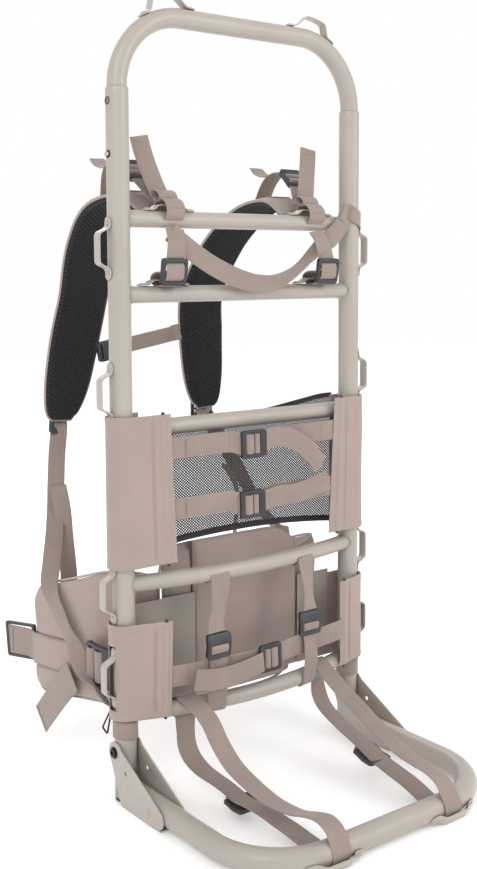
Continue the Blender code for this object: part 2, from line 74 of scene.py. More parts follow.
# ---- Materials ----
def linear(*rgb):
    return tuple(((c / 255 + 0.055) / 1.055) ** 2.4 for c in rgb)


class Look:
    """A Principled material, and short calls that wire nodes into it."""

    def __init__(self, name, colour, roughness, **sockets):
        self.mat = bpy.data.materials.new(name)
        self.mat.use_nodes = True
        self.tree = self.mat.node_tree
        self.shader = self.tree.nodes["Principled BSDF"]
        self.base = colour
        self.shader.inputs["Base Color"].default_value = (*colour, 1)
        self.shader.inputs["Roughness"].default_value = roughness
        for socket, value in sockets.items():
            self.shader.inputs[socket.replace("_", " ")].default_value = value

    def node(self, kind, links=(), **values):
        made = self.tree.nodes.new("ShaderNode" + kind)
        for key, value in values.items():
            setattr(made, key, value)
        for socket, source in dict(links).items():
            if isinstance(source, (int, float, tuple)):
                made.inputs[socket].default_value = source
            else:
                self.tree.links.new(source, made.inputs[socket])
        return made

    def math(self, operation, a, b=0.0):
        return self.node("Math", {0: a, 1: b}, operation=operation).outputs[0]

    def object_place(self):
        return self.node("TexCoord").outputs["Object"]

    def surface(self):
        """Metres along and across the cloth."""
        split = self.node("SeparateXYZ", {0: self.node("TexCoord").outputs["UV"]})
        return split.outputs[0], split.outputs[1]

    def wave(self, place, pitch):
        return self.math("SINE", self.math("MULTIPLY", place, 2 * math.pi / pitch))

    def noise(self, scale, detail=3.0, place=None):
        links = {"Vector": place or self.object_place(), "Scale": scale, "Detail": detail}
        return self.node("TexNoise", links).outputs["Fac"]

    def tint(self, factor, dark, light, low=0.3, high=0.7):
        """Colour that runs from dark to light times the base as the factor goes from low to high."""
        ramp = self.node("ValToRGB", {0: factor})
        for stop, place, scale in zip(ramp.color_ramp.elements, (low, high), (dark, light)):
            stop.position = place
            stop.color = (*(c * scale for c in self.base), 1)
        return ramp.outputs[0]

    def mix(self, factor, a, b):
        made = self.node("Mix", {0: factor}, data_type="RGBA")
        for socket, source in ((6, a), (7, b)):
            if isinstance(source, tuple):
                made.inputs[socket].default_value = (*source, 1)
            else:
                self.tree.links.new(source, made.inputs[socket])
        return made.outputs[2]

    def set(self, socket, source):
        self.tree.links.new(source, self.shader.inputs[socket])

    def rough(self, factor, low, high):
        self.set("Roughness", self.node("MapRange", {0: factor, 3: low, 4: high}).outputs[0])

    def bump(self, height, distance, strength=1.0, below=None):
        links = {"Height": height, "Distance": distance, "Strength": strength}
        if below:
            links["Normal"] = below
        made = self.node("Bump", links).outputs[0]
        self.set("Normal", made)
        return made


def paint(name, colour, roughness):
    look = Look(name, colour, roughness, Coat_Weight=0.12, Coat_Roughness=0.3)
    soft = look.noise(9.0, 4.0)
    fleck = look.noise(420.0, 2.0)
    look.set("Base Color", look.mix(look.math("MULTIPLY", fleck, 0.3), look.tint(soft, 0.93, 1.05),
                                    tuple(c * 0.82 for c in colour)))
    look.rough(look.noise(60.0, 3.0), roughness - 0.06, roughness + 0.08)
    peel = look.bump(look.noise(520.0, 2.0), 0.00012, 0.35)
    look.bump(look.noise(24.0, 2.0), 0.0004, 0.12, peel)
    return look


def cloth(name, colour, pitch, bump=0.00022):
    """Coated plain-weave pack cloth: threads over and under, slubs, and soft wear."""
    look = Look(name, colour, 0.78, Sheen_Weight=0.25, Sheen_Roughness=0.45, Specular_IOR_Level=0.32)
    u, v = look.surface()
    weave = look.math("MULTIPLY", look.wave(u, 2 * pitch), look.wave(v, 2 * pitch))
    stretched = look.node("Mapping", {0: look.node("TexCoord").outputs["UV"],
                                      3: (60.0, 900.0, 1.0)}).outputs[0]
    slub = look.noise(1.0, 2.0, stretched)
    blotch = look.tint(look.noise(14.0, 4.0), 0.92, 1.06)
    thread = look.math("ADD", look.math("MULTIPLY", weave, 0.16), look.math("MULTIPLY", slub, 0.55))
    look.set("Base Color", look.mix(thread, blotch, tuple(min(1, c * 1.22) for c in colour)))
    low = look.bump(look.noise(90.0, 3.0), 0.0006, 0.25)
    look.bump(look.math("ADD", weave, look.math("MULTIPLY", slub, 0.9)), bump, 0.55, low)
    return look


def tape(name, colour, rib=0.0016, chevron=0.0052):
    """Flat woven webbing: herringbone ribs across its width and tighter selvedges."""
    look = Look(name, colour, 0.7, Sheen_Weight=0.3, Sheen_Roughness=0.4, Specular_IOR_Level=0.35)
    u, v = look.surface()
    zigzag = look.math("PINGPONG", v, chevron / 2)
    slant = look.math("ADD", u, look.math("MULTIPLY", zigzag, 0.9))
    ribs = look.wave(slant, rib)
    fine = look.wave(v, 0.0009)
    height = look.math("ADD", ribs, look.math("MULTIPLY", fine, 0.5))
    blotch = look.tint(look.noise(22.0, 4.0), 0.90, 1.08)
    shade = look.math("ADD", look.math("MULTIPLY", ribs, 0.12), 0.18)
    look.set("Base Color", look.mix(shade, blotch, tuple(min(1, c * 1.3) for c in colour)))
    look.bump(height, 0.00016, 0.7)
    return look


def moulded(name, colour, roughness):
    look = Look(name, colour, roughness, Specular_IOR_Level=0.5)
    look.set("Base Color", look.tint(look.noise(70.0, 3.0), 0.85, 1.25))
    look.rough(look.noise(160.0, 3.0), roughness - 0.07, roughness + 0.1)
    look.bump(look.noise(900.0, 2.0), 0.00008, 0.5)
    return look


def steel(name, colour, roughness, metallic):
    look = Look(name, colour, roughness, Metallic=metallic)
    look.set("Base Color", look.tint(look.noise(130.0, 4.0), 0.75, 1.15))
    look.rough(look.noise(300.0, 4.0), roughness - 0.08, roughness + 0.14)
    look.bump(look.noise(700.0, 3.0), 0.00006, 0.4)
    return look


def knit(name, colour, dimple):
    """Black spacer mesh: a fine knit over the dimples that the geometry holds, with painted highlights laid on
    the dimples as lighter dots.
    """
    look = Look(name, colour, 0.85, Sheen_Weight=0.12, Sheen_Roughness=0.5, Specular_IOR_Level=0.25)
    cells = look.node("TexVoronoi", {"Vector": look.node("TexCoord").outputs["UV"], "Scale": 900.0})
    u, v = look.surface()
    painted_dimple_highlights = []
    for diagonal in (look.math("ADD", u, v), look.math("SUBTRACT", u, v)):
        wave = look.wave(look.math("ADD", diagonal, dimple / 4), dimple)
        painted_dimple_highlights.append(look.node("Math", {0: wave, 1: 0.5, 2: 0.5}, operation="MULTIPLY_ADD").outputs[0])
    knitted = look.tint(cells.outputs["Distance"], 0.6, 1.3, 0.1, 0.8)
    # painted highlight: where both diagonal waves peak, on each dimple, the colour runs up to four times the
    # knit's, standing in for the light the dimples catch
    look.set("Base Color", look.mix(look.math("MULTIPLY", *painted_dimple_highlights), knitted, tuple(c * 4.0 for c in colour)))
    look.bump(cells.outputs["Distance"], 0.0003, 0.7)
    return look


TUBE = paint("tube_paint", linear(167, 159, 150), 0.36)
BRACKET = paint("bracket_paint", linear(172, 164, 156), 0.36)
FABRIC = cloth("pack_fabric", linear(158, 142, 135), 0.0007)
LINING = cloth("pack_lining", linear(152, 143, 134), 0.0005, 0.0001)
WEBBING = tape("webbing", linear(146, 131, 123))
BINDING = tape("binding_tape", linear(166, 152, 143), 0.0011, 0.0030)
BLACK_TAPE = tape("black_tape", linear(44, 42, 44))
THREAD = moulded("thread", linear(126, 108, 99), 0.7)
THREAD_DARK = moulded("dark_thread", linear(36, 34, 36), 0.7)
PLASTIC = moulded("black_plastic", linear(46, 45, 49), 0.4)
NET_YARN = moulded("net_yarn", linear(38, 36, 40), 0.6)
DIMPLE = 0.0066              # pitch of the spacer mesh's dimples along each diagonal
SPACER = knit("spacer_mesh", linear(27, 26, 28), DIMPLE)
DARK_STEEL = steel("dark_steel", linear(58, 56, 58), 0.34, 0.9)
BRIGHT_STEEL = steel("spring_steel", linear(196, 194, 190), 0.26, 1.0)
SLOT_LOOKS = {"tube_paint": TUBE, "bracket_paint": BRACKET, "pack_fabric": FABRIC, "webbing": WEBBING,
              "black_plastic": PLASTIC, "dark_steel": DARK_STEEL, "spring_steel": BRIGHT_STEEL,
              "spacer_mesh": SPACER}
SLOT_OF = {look.mat.name: slot for slot, look in SLOT_LOOKS.items()}
SLOT_OF.update(pack_lining="pack_fabric", binding_tape="webbing", black_tape="webbing", thread="webbing",
               dark_thread="webbing", net_yarn="spacer_mesh")


# ---- Mesh helpers ----
def piece(name, verts, faces, look, body="frame", nodes=(), uvs=None, angle=40.0):
    """A new mesh piece in place, riding on its body and standing for the CAD nodes named."""
    mesh = bpy.data.meshes.new(name)
    mesh.from_pydata([tuple(v) for v in verts], [], faces)
    if uvs is not None:
        layer = mesh.uv_layers.new(name="UVMap")
        index = np.empty(len(mesh.loops), np.int64)
        mesh.loops.foreach_get("vertex_index", index)
        layer.data.foreach_set("uv", np.asarray(uvs, np.float32)[index].ravel())
    obj = bpy.data.objects.new(name, mesh)
    bpy.context.scene.collection.objects.link(obj)
    bm = bmesh.new()
    bm.from_mesh(mesh)
    bmesh.ops.recalc_face_normals(bm, faces=bm.faces)
    bm.to_mesh(mesh)
    bm.free()
    return dress(obj, look, body, nodes, angle)


def dress(obj, look, body, nodes=(), angle=40.0):
    mesh = obj.data
    mesh.materials.clear()
    mesh.materials.append(look.mat)
    mesh.shade_smooth()
    mesh.set_sharp_from_angle(angle=math.radians(angle))
    if body:
        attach(obj, body)
    if nodes:
        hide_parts(*nodes)
    return obj


def curve_through(rows, steps):
    """Catmull-Rom through rows of numbers, steps for each stretch."""
    rows = np.array(rows, float)
    if len(rows) == 2:
        return [rows[0] + (rows[-1] - rows[0]) * i / steps for i in range(steps + 1)]
    if steps == 1:
        return list(rows)
    rows = np.vstack([2 * rows[0] - rows[1], rows, 2 * rows[-1] - rows[-2]])
    made = []
    for a, b, c, d in zip(rows, rows[1:], rows[2:], rows[3:]):
        for i in range(steps):
            t = i / steps
            made.append(0.5 * (2 * b + (c - a) * t + (2 * a - 5 * b + 4 * c - d) * t * t
                               + (3 * b - a - 3 * c + d) * t ** 3))
    return [*made, rows[-2]]


def arc(centre, radius, start, end, count):
    turn = [math.radians(start + (end - start) * i / count) for i in range(count + 1)]
    return [(centre[0] + radius * math.cos(t), centre[1] + radius * math.sin(t)) for t in turn]


def filleted(points, radius, count=4):
    """Points of a bent strip whose corners have an inside radius."""
    points = [Vector(p) for p in points]
    made = [points[0]]
    for before, corner, after in zip(points, points[1:], points[2:]):
        a, b = (before - corner), (after - corner)
        reach = min(radius, a.length * 0.45, b.length * 0.45)
        start, end = corner + a.normalized() * reach, corner + b.normalized() * reach
        for i in range(count + 1):
            t = i / count
            made.append(start * (1 - t) ** 2 + corner * 2 * t * (1 - t) + end * t * t)
    return [*made, points[-1]]


def sweep(name, rows, profile, look, body="frame", nodes=(), closed=False, angle=40.0):
    """Skins rows of (centre, across, normal, width, thickness) with a closed (across, normal) profile."""
    verts, uvs, along = [], [], 0.0
    n = len(profile)
    for index, (centre, across, normal, wide, thick) in enumerate(rows):
        if index:
            along += (centre - rows[index - 1][0]).length
        for a, b in profile:
            verts.append(centre + across * (a * wide) + normal * (b * thick))
            uvs.append((along, a * wide))
    faces = []
    rings = len(rows)
    for i in range(rings if closed else rings - 1):
        k = (i + 1) % rings
        for j in range(n):
            m = (j + 1) % n
            faces.append((i * n + j, i * n + m, k * n + m, k * n + j))
    if not closed:
        faces.append(tuple(range(n - 1, -1, -1)))
        faces.append(tuple((rings - 1) * n + j for j in range(n)))
    return piece(name, verts, faces, look, body, nodes, uvs, angle)


def frames(points, across, closed=False):
    """(centre, across, normal) at each point, with across squared up to the path."""
    made = []
    count = len(points)
    for i, p in enumerate(points):
        before = points[i - 1] if i or closed else p
        after = points[(i + 1) % count] if i < count - 1 or closed else p
        run = (Vector(after) - Vector(before)).normalized()
        side = Vector(across) if isinstance(across[0], (int, float)) else Vector(across[i])
        side = (side - run * side.dot(run)).normalized()
        made.append((Vector(p), side, run.cross(side)))
    return made


def circle(radius, count):
    return [(radius * math.cos(2 * math.pi * i / count), radius * math.sin(2 * math.pi * i / count))
            for i in range(count)]


def tube(name, points, radius, look, body="frame", nodes=(), sides=32, up=(0, 0, 1), closed=False):
    """Round bar along a path. up is any direction that the path never runs along."""
    rows = [(p, a, b, 1.0, 1.0) for p, a, b in frames([Vector(p) for p in points], Vector(up), closed)]
    return sweep(name, rows, circle(radius, sides), look, body, nodes, closed, 50.0)


TAPE_PROFILE = ((-0.5, 0.0), (-0.488, 0.36), (-0.455, 0.5), (-0.15, 0.5),
                (0.15, 0.5), (0.455, 0.5), (0.488, 0.36),
                (0.5, 0.0), (0.488, -0.36), (0.455, -0.5), (0.15, -0.5),
                (-0.15, -0.5), (-0.455, -0.5), (-0.488, -0.36))


def ribbon(name, rows, look=None, body="frame", nodes=(), thickness=WEB_T, steps=5, closed=False,
           flutter=0.0):
    """Webbing through rows of (centre, across, width)."""
    flat = [(*c, *Vector(a).normalized(), w) for c, a, w in rows]
    flat = curve_through(flat, steps) if not closed else curve_through([*flat, flat[0]], steps)[:-1]
    centres = [Vector(r[:3]) for r in flat]
    made = []
    for index, ((p, side, normal), r) in enumerate(zip(frames(centres, [r[3:6] for r in flat], closed),
                                                       flat)):
        lift = flutter * noise.noise(p * 40 + Vector((0, 0, 3.7))) if 0 < index < len(flat) - 1 else 0.0
        made.append((p + normal * lift, side, normal, r[6], thickness))
    return sweep(name, made, TAPE_PROFILE, look or WEBBING, body, nodes, closed, angle=60.0)


def even(points, pitch):
    """The same path as points a pitch apart, with its length."""
    points = [Vector(p) for p in points]
    lengths = [0.0]
    for a, b in zip(points, points[1:]):
        lengths.append(lengths[-1] + (b - a).length)
    count = max(2, int(round(lengths[-1] / pitch)) + 1)
    made, k = [], 0
    for i in range(count):
        s = lengths[-1] * i / (count - 1)
        while k < len(points) - 2 and lengths[k + 1] < s:
            k += 1
        t = (s - lengths[k]) / max(1e-9, lengths[k + 1] - lengths[k])
        made.append(points[k].lerp(points[k + 1], t))
    return made


def slab(name, grid, top, under, look, body="frame", nodes=(), angle=50.0, hole=None, uv=None):
    """Closed cloth or pad from a grid of points; top and under are how far each side stands off the middle.

    hole is a test of a point: squares of the grid whose middle passes it are left out.
    uv is metres along and across the cloth.
    """
    grid = np.array(grid, float)
    rows, cols = grid.shape[:2]
    du = np.gradient(grid, axis=0)
    dv = np.gradient(grid, axis=1)
    normal = np.cross(du, dv)
    normal /= np.linalg.norm(normal, axis=2, keepdims=True) + 1e-12
    top, under = np.broadcast_to(top, (rows, cols)), np.broadcast_to(under, (rows, cols))
    upper = grid + normal * top[..., None]
    lower = grid - normal * under[..., None]
    verts = np.vstack([upper.reshape(-1, 3), lower.reshape(-1, 3)])
    u = np.concatenate([[0], np.cumsum(np.linalg.norm(np.diff(grid[:, cols // 2], axis=0), axis=1))])
    v = np.concatenate([[0], np.cumsum(np.linalg.norm(np.diff(grid[rows // 2], axis=0), axis=1))])
    uv = np.stack(np.meshgrid(u, v, indexing="ij"),
                  -1).reshape(-1, 2) if uv is None else np.array(uv).reshape(-1, 2)
    n = rows * cols
    faces, rim = [], {}
    for i in range(rows - 1):
        for j in range(cols - 1):
            quad = (i * cols + j, (i + 1) * cols + j, (i + 1) * cols + j + 1, i * cols + j + 1)
            if hole and hole(grid[i:i + 2, j:j + 2].reshape(-1, 3).mean(axis=0)):
                continue
            faces += [quad, tuple(n + k for k in reversed(quad))]
            for a, b in zip(quad, (*quad[1:], quad[0])):
                if rim.pop((b, a), None) is None:
                    rim[a, b] = True
    faces += [(b, a, n + a, n + b) for a, b in rim]
    return piece(name, verts, faces, look, body, nodes, np.vstack([uv, uv]), angle)


class Bag:
    """Collects many small closed solids, such as stitches, into one piece."""

    def __init__(self):
        self.verts, self.faces = [], []

    def add(self, verts, faces):
        base = len(self.verts)
        self.verts += verts
        self.faces += [tuple(base + i for i in f) for f in faces]

    def spindle(self, start, end, radius, normal):
        """A short thread with pinched ends."""
        run = end - start
        side = run.cross(normal).normalized() * radius
        rise = normal.normalized() * radius
        rings = [start + run * 0.22, start + run * 0.78]
        verts = [start, *[r + d for r in rings for d in (side, rise, -side, -rise)], end]
        faces = [(0, 2, 1), (0, 3, 2), (0, 4, 3), (0, 1, 4)]
        faces += [(1 + j, 1 + (j + 1) % 4, 5 + (j + 1) % 4, 5 + j) for j in range(4)]
        faces += [(9, 5, 6), (9, 6, 7), (9, 7, 8), (9, 8, 5)]
        self.add(verts, faces)

    def stitches(self, points, normals, pitch=0.0036, radius=0.0003):
        points = [Vector(p) for p in points]
        dense = even(points, pitch)
        for i, (a, b) in enumerate(zip(dense, dense[1:])):
            normal = Vector(normals[min(len(normals) - 1, int(i / len(dense) * len(normals)))]) \
                if isinstance(normals, list) else Vector(normals)
            run = b - a
            lift = normal.normalized() * radius * 0.35
            self.spindle(a + run * 0.12 + lift, a + run * 0.82 + lift, radius, normal)

    def rod(self, start, end, radius, sides=6):
        start, end = Vector(start), Vector(end)
        run = (end - start).normalized()
        side = run.orthogonal().normalized()
        up = run.cross(side)
        turns = [2 * math.pi * k / sides for k in range(sides)]
        ring = [side * (radius * math.cos(t)) + up * (radius * math.sin(t)) for t in turns]
        verts = [start + r for r in ring] + [end + r for r in ring]
        faces = [(k, (k + 1) % sides, sides + (k + 1) % sides, sides + k) for k in range(sides)]
        faces += [tuple(range(sides - 1, -1, -1)), tuple(range(sides, 2 * sides))]
        self.add(verts, faces)

    def lathe(self, centre, axis, profile, sides=20):
        """Turns (radius, height) points about an axis; the first and last may lie on it."""
        axis = Vector(axis).normalized()
        side = axis.orthogonal().normalized()
        up = axis.cross(side)
        verts, rings = [], []
        for radius, height in profile:
            if radius < 1e-6:
                rings.append([len(verts)])
                verts.append(Vector(centre) + axis * height)
                continue
            rings.append(list(range(len(verts), len(verts) + sides)))
            for k in range(sides):
                t = 2 * math.pi * k / sides
                spoke = side * math.cos(t) + up * math.sin(t)
                verts.append(Vector(centre) + axis * height + spoke * radius)
        faces = []
        for a, b in zip(rings, rings[1:]):
            for k in range(sides):
                m = (k + 1) % sides
                if len(a) == 1:
                    faces.append((a[0], b[k], b[m]))
                elif len(b) == 1:
                    faces.append((a[k], a[m], b[0]))
                else:
                    faces.append((a[k], a[m], b[m], b[k]))
        self.add(verts, faces)

    def make(self, name, look, body="frame", nodes=(), angle=40.0):
        uvs = [(v[0] + v[1], v[2]) for v in self.verts]
        return piece(name, self.verts, self.faces, look, body, nodes, uvs, angle)


SEAMS = {body: Bag() for body in ("frame",)}
BLACK_SEAMS = Bag()


def sew(points, normals, **kind):
    SEAMS["frame"].stitches(points, normals, **kind)


# ---- Tubes ----
def bar_y(index, x):
    return -BAR_BOW[index] * (1 - (x / HALF_WIDTH) ** 2)


def bar_slope(index, x):
    return Vector((1, 2 * BAR_BOW[index] * x / HALF_WIDTH ** 2, 0)).normalized()


def make_uprights():
    for side, sign in SIDES:
        x = sign * HALF_WIDTH
        near = [z + d for z in (BUTTON_Z, SPARE_HOLE_Z) for d in (-0.007, 0.007)]
        levels = sorted([0.0044, *(0.05 * k for k in range(1, 14)), 0.700, *near, UPRIGHT_TOP - 0.0008])
        outer = [(UPRIGHT_R, z) for z in levels] + [(UPRIGHT_R - 0.0004, UPRIGHT_TOP)]
        inner = [(UPRIGHT_R - 0.0012, UPRIGHT_TOP), (UPRIGHT_R - 0.0012, 0.0044)]
        bag = Bag()
        profile = [*outer, *inner]
        bag.lathe((x, 0, 0), (0, 0, 1), [*profile, profile[0]], 48)
        upright = bag.make(f"upright_{side}_tube", TUBE, None, (), 50.0)
        weld_points(upright)
        for label, z in (("button", BUTTON_Z), ("spare", SPARE_HOLE_Z)):
            drill(upright, (x, 0, z), (x + sign * 0.025, 0, z), HOLE_R, f"{label}_{side}")
        apply_modifiers(upright)
        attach(upright, "frame")
        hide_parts(f"upright_{side}")
        rim = Bag()
        for z in (BUTTON_Z, SPARE_HOLE_Z):
            rim.lathe((x + sign * (UPRIGHT_R - 0.0006), 0, z), (sign, 0, 0),
                      [(0.0036, -0.0006), (0.0046, 0.0), (0.0047, 0.00045), (0.0042, 0.0008),
                       (0.0037, 0.0006), (0.0036, -0.0006)], 24)
        rim.make(f"button_ring_{side}", DARK_STEEL)
        plug = Bag()
        plug.lathe((x, 0, 0), (0, 0, 1), [(0, 0), (0.0112, 0), (0.0121, 0.0003), (0.0127, 0.0010),
                                          (0.0127, 0.0036),
                                          (0.0124, 0.0040), (0.0109, 0.0041), (0.0109, 0.021), (0.010, 0.022),
                                          (0, 0.022)], 36)
        plug.make(f"foot_plug_{side}_moulding", PLASTIC, "frame", (f"foot_plug_{side}",), 35.0)


def weld_points(obj):
    bm = bmesh.new()
    bm.from_mesh(obj.data)
    bmesh.ops.remove_doubles(bm, verts=bm.verts, dist=0.000005)
    bmesh.ops.recalc_face_normals(bm, faces=bm.faces)
    bm.to_mesh(obj.data)
    bm.free()


def drill(obj, start, end, radius, label):
    cutter = Bag()
    cutter.rod(start, end, radius, 24)
    mesh = bpy.data.meshes.new(f"way_{label}")
    mesh.from_pydata([tuple(v) for v in cutter.verts], [], cutter.faces)
    tool = bpy.data.objects.new(f"way_{label}", mesh)
    bpy.context.scene.collection.objects.link(tool)
    bm = bmesh.new()
    bm.from_mesh(mesh)
    bmesh.ops.recalc_face_normals(bm, faces=bm.faces)
    bm.to_mesh(mesh)
    bm.free()
    mod = obj.modifiers.new("drill", "BOOLEAN")
    mod.object = tool
    mod.solver = "EXACT"
    apply_modifiers(obj)
    bpy.data.objects.remove(tool, do_unlink=True)


def apply_modifiers(obj):
    bpy.context.view_layer.update()
    evaluated = obj.evaluated_get(bpy.context.evaluated_depsgraph_get())
    mesh = bpy.data.meshes.new_from_object(evaluated)
    old = obj.data
    obj.modifiers.clear()
    obj.data = mesh
    bpy.data.meshes.remove(old)
    mesh.name = obj.name


def weld_bead(bag, index, sign):
    """Bead where a crossbar meets an upright: it follows the saddle curve, in small ripples."""
    z = BAR_Z[index]
    direction = bar_slope(index, sign * HALF_WIDTH) * -sign
    up = Vector((0, 0, 1))
    flat = direction.cross(up).normalized()
    centre = Vector((sign * HALF_WIDTH, 0, z))
    count, sides = 72, 8
    rings = []
    for i in range(count):
        t = 2 * math.pi * i / count
        out = flat * math.cos(t) + up * math.sin(t)
        off = BAR_R * math.cos(t)
        reach = math.sqrt(max(1e-9, UPRIGHT_R ** 2 - off ** 2))
        place = centre + direction * reach + out * BAR_R
        radial = (place - Vector((centre.x, centre.y, place.z))).normalized()
        radius = 0.0017 * (1 + 0.10 * math.sin(26 * t))
        rings.append([place + (out * math.cos(a) + radial * math.sin(a)) * radius
                      for a in (2 * math.pi * k / sides for k in range(sides))])
    verts = [v for ring in rings for v in ring]
    faces = []
    for i in range(count):
        k = (i + 1) % count
        faces += [(i * sides + j, i * sides + (j + 1) % sides, k * sides + (j + 1) % sides, k * sides + j)
                  for j in range(sides)]
    bag.add(verts, faces)


def make_crossbars():
    beads = Bag()
    for index, z in enumerate(BAR_Z):
        reach = HALF_WIDTH - 0.008
        count = 28 if BAR_BOW[index] else 2
        xs = [reach * (2 * i / count - 1) for i in range(count + 1)]
        tube(f"crossbar_{index + 1}_tube", [(x, bar_y(index, x), z) for x in xs], BAR_R, TUBE, "frame",
             (f"crossbar_{index + 1}",), 40)
        for _, sign in SIDES:
            weld_bead(beads, index, sign)
    beads.make("weld_beads", TUBE)


def make_hoop():
    inner, level = HALF_WIDTH - HOOP_CORNER, HOOP_TOP - HOOP_CORNER
    path = [(HALF_WIDTH, HOOP_BOTTOM), *arc((inner, level), HOOP_CORNER, 0, 90, 28),
            *arc((-inner, level), HOOP_CORNER, 90, 180, 28), (-HALF_WIDTH, HOOP_BOTTOM)]
    hoop = tube("top_hoop_tube", [(x, 0, z) for x, z in path], HOOP_R, TUBE, "hoop", ("top_hoop",), 44,
                up=(0, 1, 0))
    return hoop


def make_shelf():
    corner_x, corner_y = HALF_WIDTH - SHELF_CORNER, -(SHELF_DEPTH - SHELF_CORNER)
    path = [(HALF_WIDTH, -SHELF_START), *arc((corner_x, corner_y), SHELF_CORNER, 0, -90, 28),
            *arc((-corner_x, corner_y), SHELF_CORNER, -90, -180, 28), (-HALF_WIDTH, -SHELF_START)]
    tube("shelf_loop_tube", [(x, y, SHELF_Z) for x, y in path], SHELF_R, TUBE, "shelf", ("shelf_tube",), 44)


def flat_plate(name, outline, holes, thickness, matrix, look, body, nodes=(), bevel=0.0004):
    """Sheet part cut to an outline with holes, its edges rounded; matrix puts its plane in place."""
    data = bpy.data.curves.new(name, "CURVE")
    data.dimensions = "2D"
    data.fill_mode = "BOTH"
    data.extrude = thickness / 2 - bevel
    data.bevel_depth = bevel
    data.bevel_resolution = 2
    data.offset = -bevel
    for ring in (outline, *holes):
        spline = data.splines.new("POLY")
        spline.use_cyclic_u = True
        spline.points.add(len(ring) - 1)
        for point, (u, v) in zip(spline.points, ring):
            point.co = (u, v, 0, 1)
    guide = bpy.data.objects.new(name + "_guide", data)
    bpy.context.scene.collection.objects.link(guide)
    bpy.context.view_layer.update()
    mesh = bpy.data.meshes.new_from_object(guide.evaluated_get(bpy.context.evaluated_depsgraph_get()))
    bpy.data.objects.remove(guide, do_unlink=True)
    mesh.transform(matrix)
    obj = bpy.data.objects.new(name, mesh)
    bpy.context.scene.collection.objects.link(obj)
    weld_points(obj)
    return dress(obj, look, body, nodes, 30.0)


def make_hinges():
    for side, sign in SIDES:
        x = sign * HALF_WIDTH
        outline = [*arc((-0.001, PIVOT_Z), 0.0125, -20, 150, 24), *arc((-0.088, 0.013), 0.0105, 130, 250, 14),
                   (-0.078, 0.0001), (-0.016, 0.0001), (-0.0125, 0.002), (-0.0105, 0.006)]
        hole = arc((-0.0235, 0.041), 0.0026, 0, 348, 23)
        reach = UPRIGHT_R + 0.0006 + 0.001
        for label, way in (("inner", -1), ("outer", 1)):
            centre = x + way * sign * reach
            matrix = Matrix(((0, 0, 1, centre), (1, 0, 0, 0), (0, 1, 0, 0), (0, 0, 0, 1)))
            flat_plate(f"hinge_{side}_{label}_cheek", outline, [hole], 0.002, matrix, BRACKET, "shelf",
                       (f"hinge_bracket_{side}",) if label == "outer" else ())
        web = [(-0.0985, -0.0142), (-0.034, -0.0142), (-0.034, 0.0142), (-0.0985, 0.0142)]
        matrix = Matrix(((0, 1, 0, x), (1, 0, 0, 0), (0, 0, -1, 0.0012), (0, 0, 0, 1)))
        flat_plate(f"hinge_{side}_web", [(max(u, -0.0925), v) for u, v in web], [], 0.0018, matrix, BRACKET,
                   "shelf", (), 0.0003)
        bolt = Bag()
        for way in (-1, 1):
            axis = (way, 0, 0)
            start = UPRIGHT_R + 0.0006 + 0.002 + GAP
            bolt.lathe((x + way * start, 0, PIVOT_Z), axis,
                       [(0.0066, -0.0002), (0.0068, 0.0005), (0.0056, 0.0006), (0.0056, 0.0018),
                        (0.0046, 0.0028),
                        (0.0028, 0.0030), (0.0024, 0.0030), (0.0021, 0.0012), (0, 0.0010)], 28)
        bolt.rod((x - 0.0155, 0, PIVOT_Z), (x + 0.0155, 0, PIVOT_Z), 0.003, 16)
        bolt.make(f"pivot_bolt_{side}_set", DARK_STEEL, "frame", (f"pivot_bolt_{side}",), 35.0)
        rivets = Bag()
        for way in (-1, 1):
            start = UPRIGHT_R + 0.0006 + 0.002
            rivets.lathe((x + way * start, -0.070, SHELF_Z), (way, 0, 0), RIVET, 20)
        rivets.make(f"hinge_{side}_rivets", BRACKET, "shelf")


# ---- Brackets ----
RIVET = [(0.0037, -0.0002), (0.0038, 0.0004), (0.0034, 0.0010), (0.0026, 0.0013), (0.0016, 0.0013),
         (0.0012, 0.0007),
         (0.0, 0.0005)]


def strip_bracket(name, points, across, rivets, outs, body, node):
    """Bent strip with round corners and rounded feet, and a blind rivet in each foot."""
    across = Vector(across).normalized()
    path = filleted(points, 0.0042, 5)
    start, end = path[0], path[-1]
    run_a, run_b = (path[1] - start).normalized(), (path[-2] - end).normalized()
    ends_a = [(start + run_a * (STRIP_W / 2) * (1 - math.cos(t)), math.sin(t)) for t in (0.25, 0.5, 0.8,
                                                                                         1.15)]
    ends_b = [(end + run_b * (STRIP_W / 2) * (1 - math.cos(t)), math.sin(t)) for t in (1.15, 0.8, 0.5, 0.25)]
    reach = STRIP_W / 2
    body_points = [(p, 1.0) for p in path
                   if (p - start).dot(run_a) > reach * 0.95 and (p - end).dot(run_b) > reach * 0.95]
    rows = [*ends_a, *body_points, *ends_b]
    made = []
    for (p, w), (c, side, normal) in zip(rows, frames([r[0] for r in rows], across)):
        made.append((c, side, normal, STRIP_W * w, STRIP_T))
    strip = sweep(name, made, TAPE_PROFILE, BRACKET, body, (node,), angle=42.0)
    bag = Bag()
    for place, out in zip(rivets, outs):
        bag.lathe(Vector(place) + Vector(out).normalized() * (STRIP_T / 2), out, RIVET, 20)
    bag.make(name + "_rivets", BRACKET, body)
    return strip


def bridge_profile(rise):
    half = RIVET_PITCH / 2
    return [(-half - 0.006, 0), (-half + 0.006, 0), (-half + 0.012, rise), (half - 0.012, rise),
            (half - 0.006, 0), (half + 0.006, 0)]


def tube_bracket(node, centre, along, out, tube_r, rise):
    centre, along, out = Vector(centre), Vector(along), Vector(out)
    base = tube_r + GAP + STRIP_T / 2
    points = [centre + along * u + out * (base + v) for u, v in bridge_profile(rise)]
    rivets = [centre + along * u + out * base for u in (-RIVET_PITCH / 2, RIVET_PITCH / 2)]
    strip_bracket(node + "_strip", points, along.cross(out), rivets, (out, out), "frame", node)


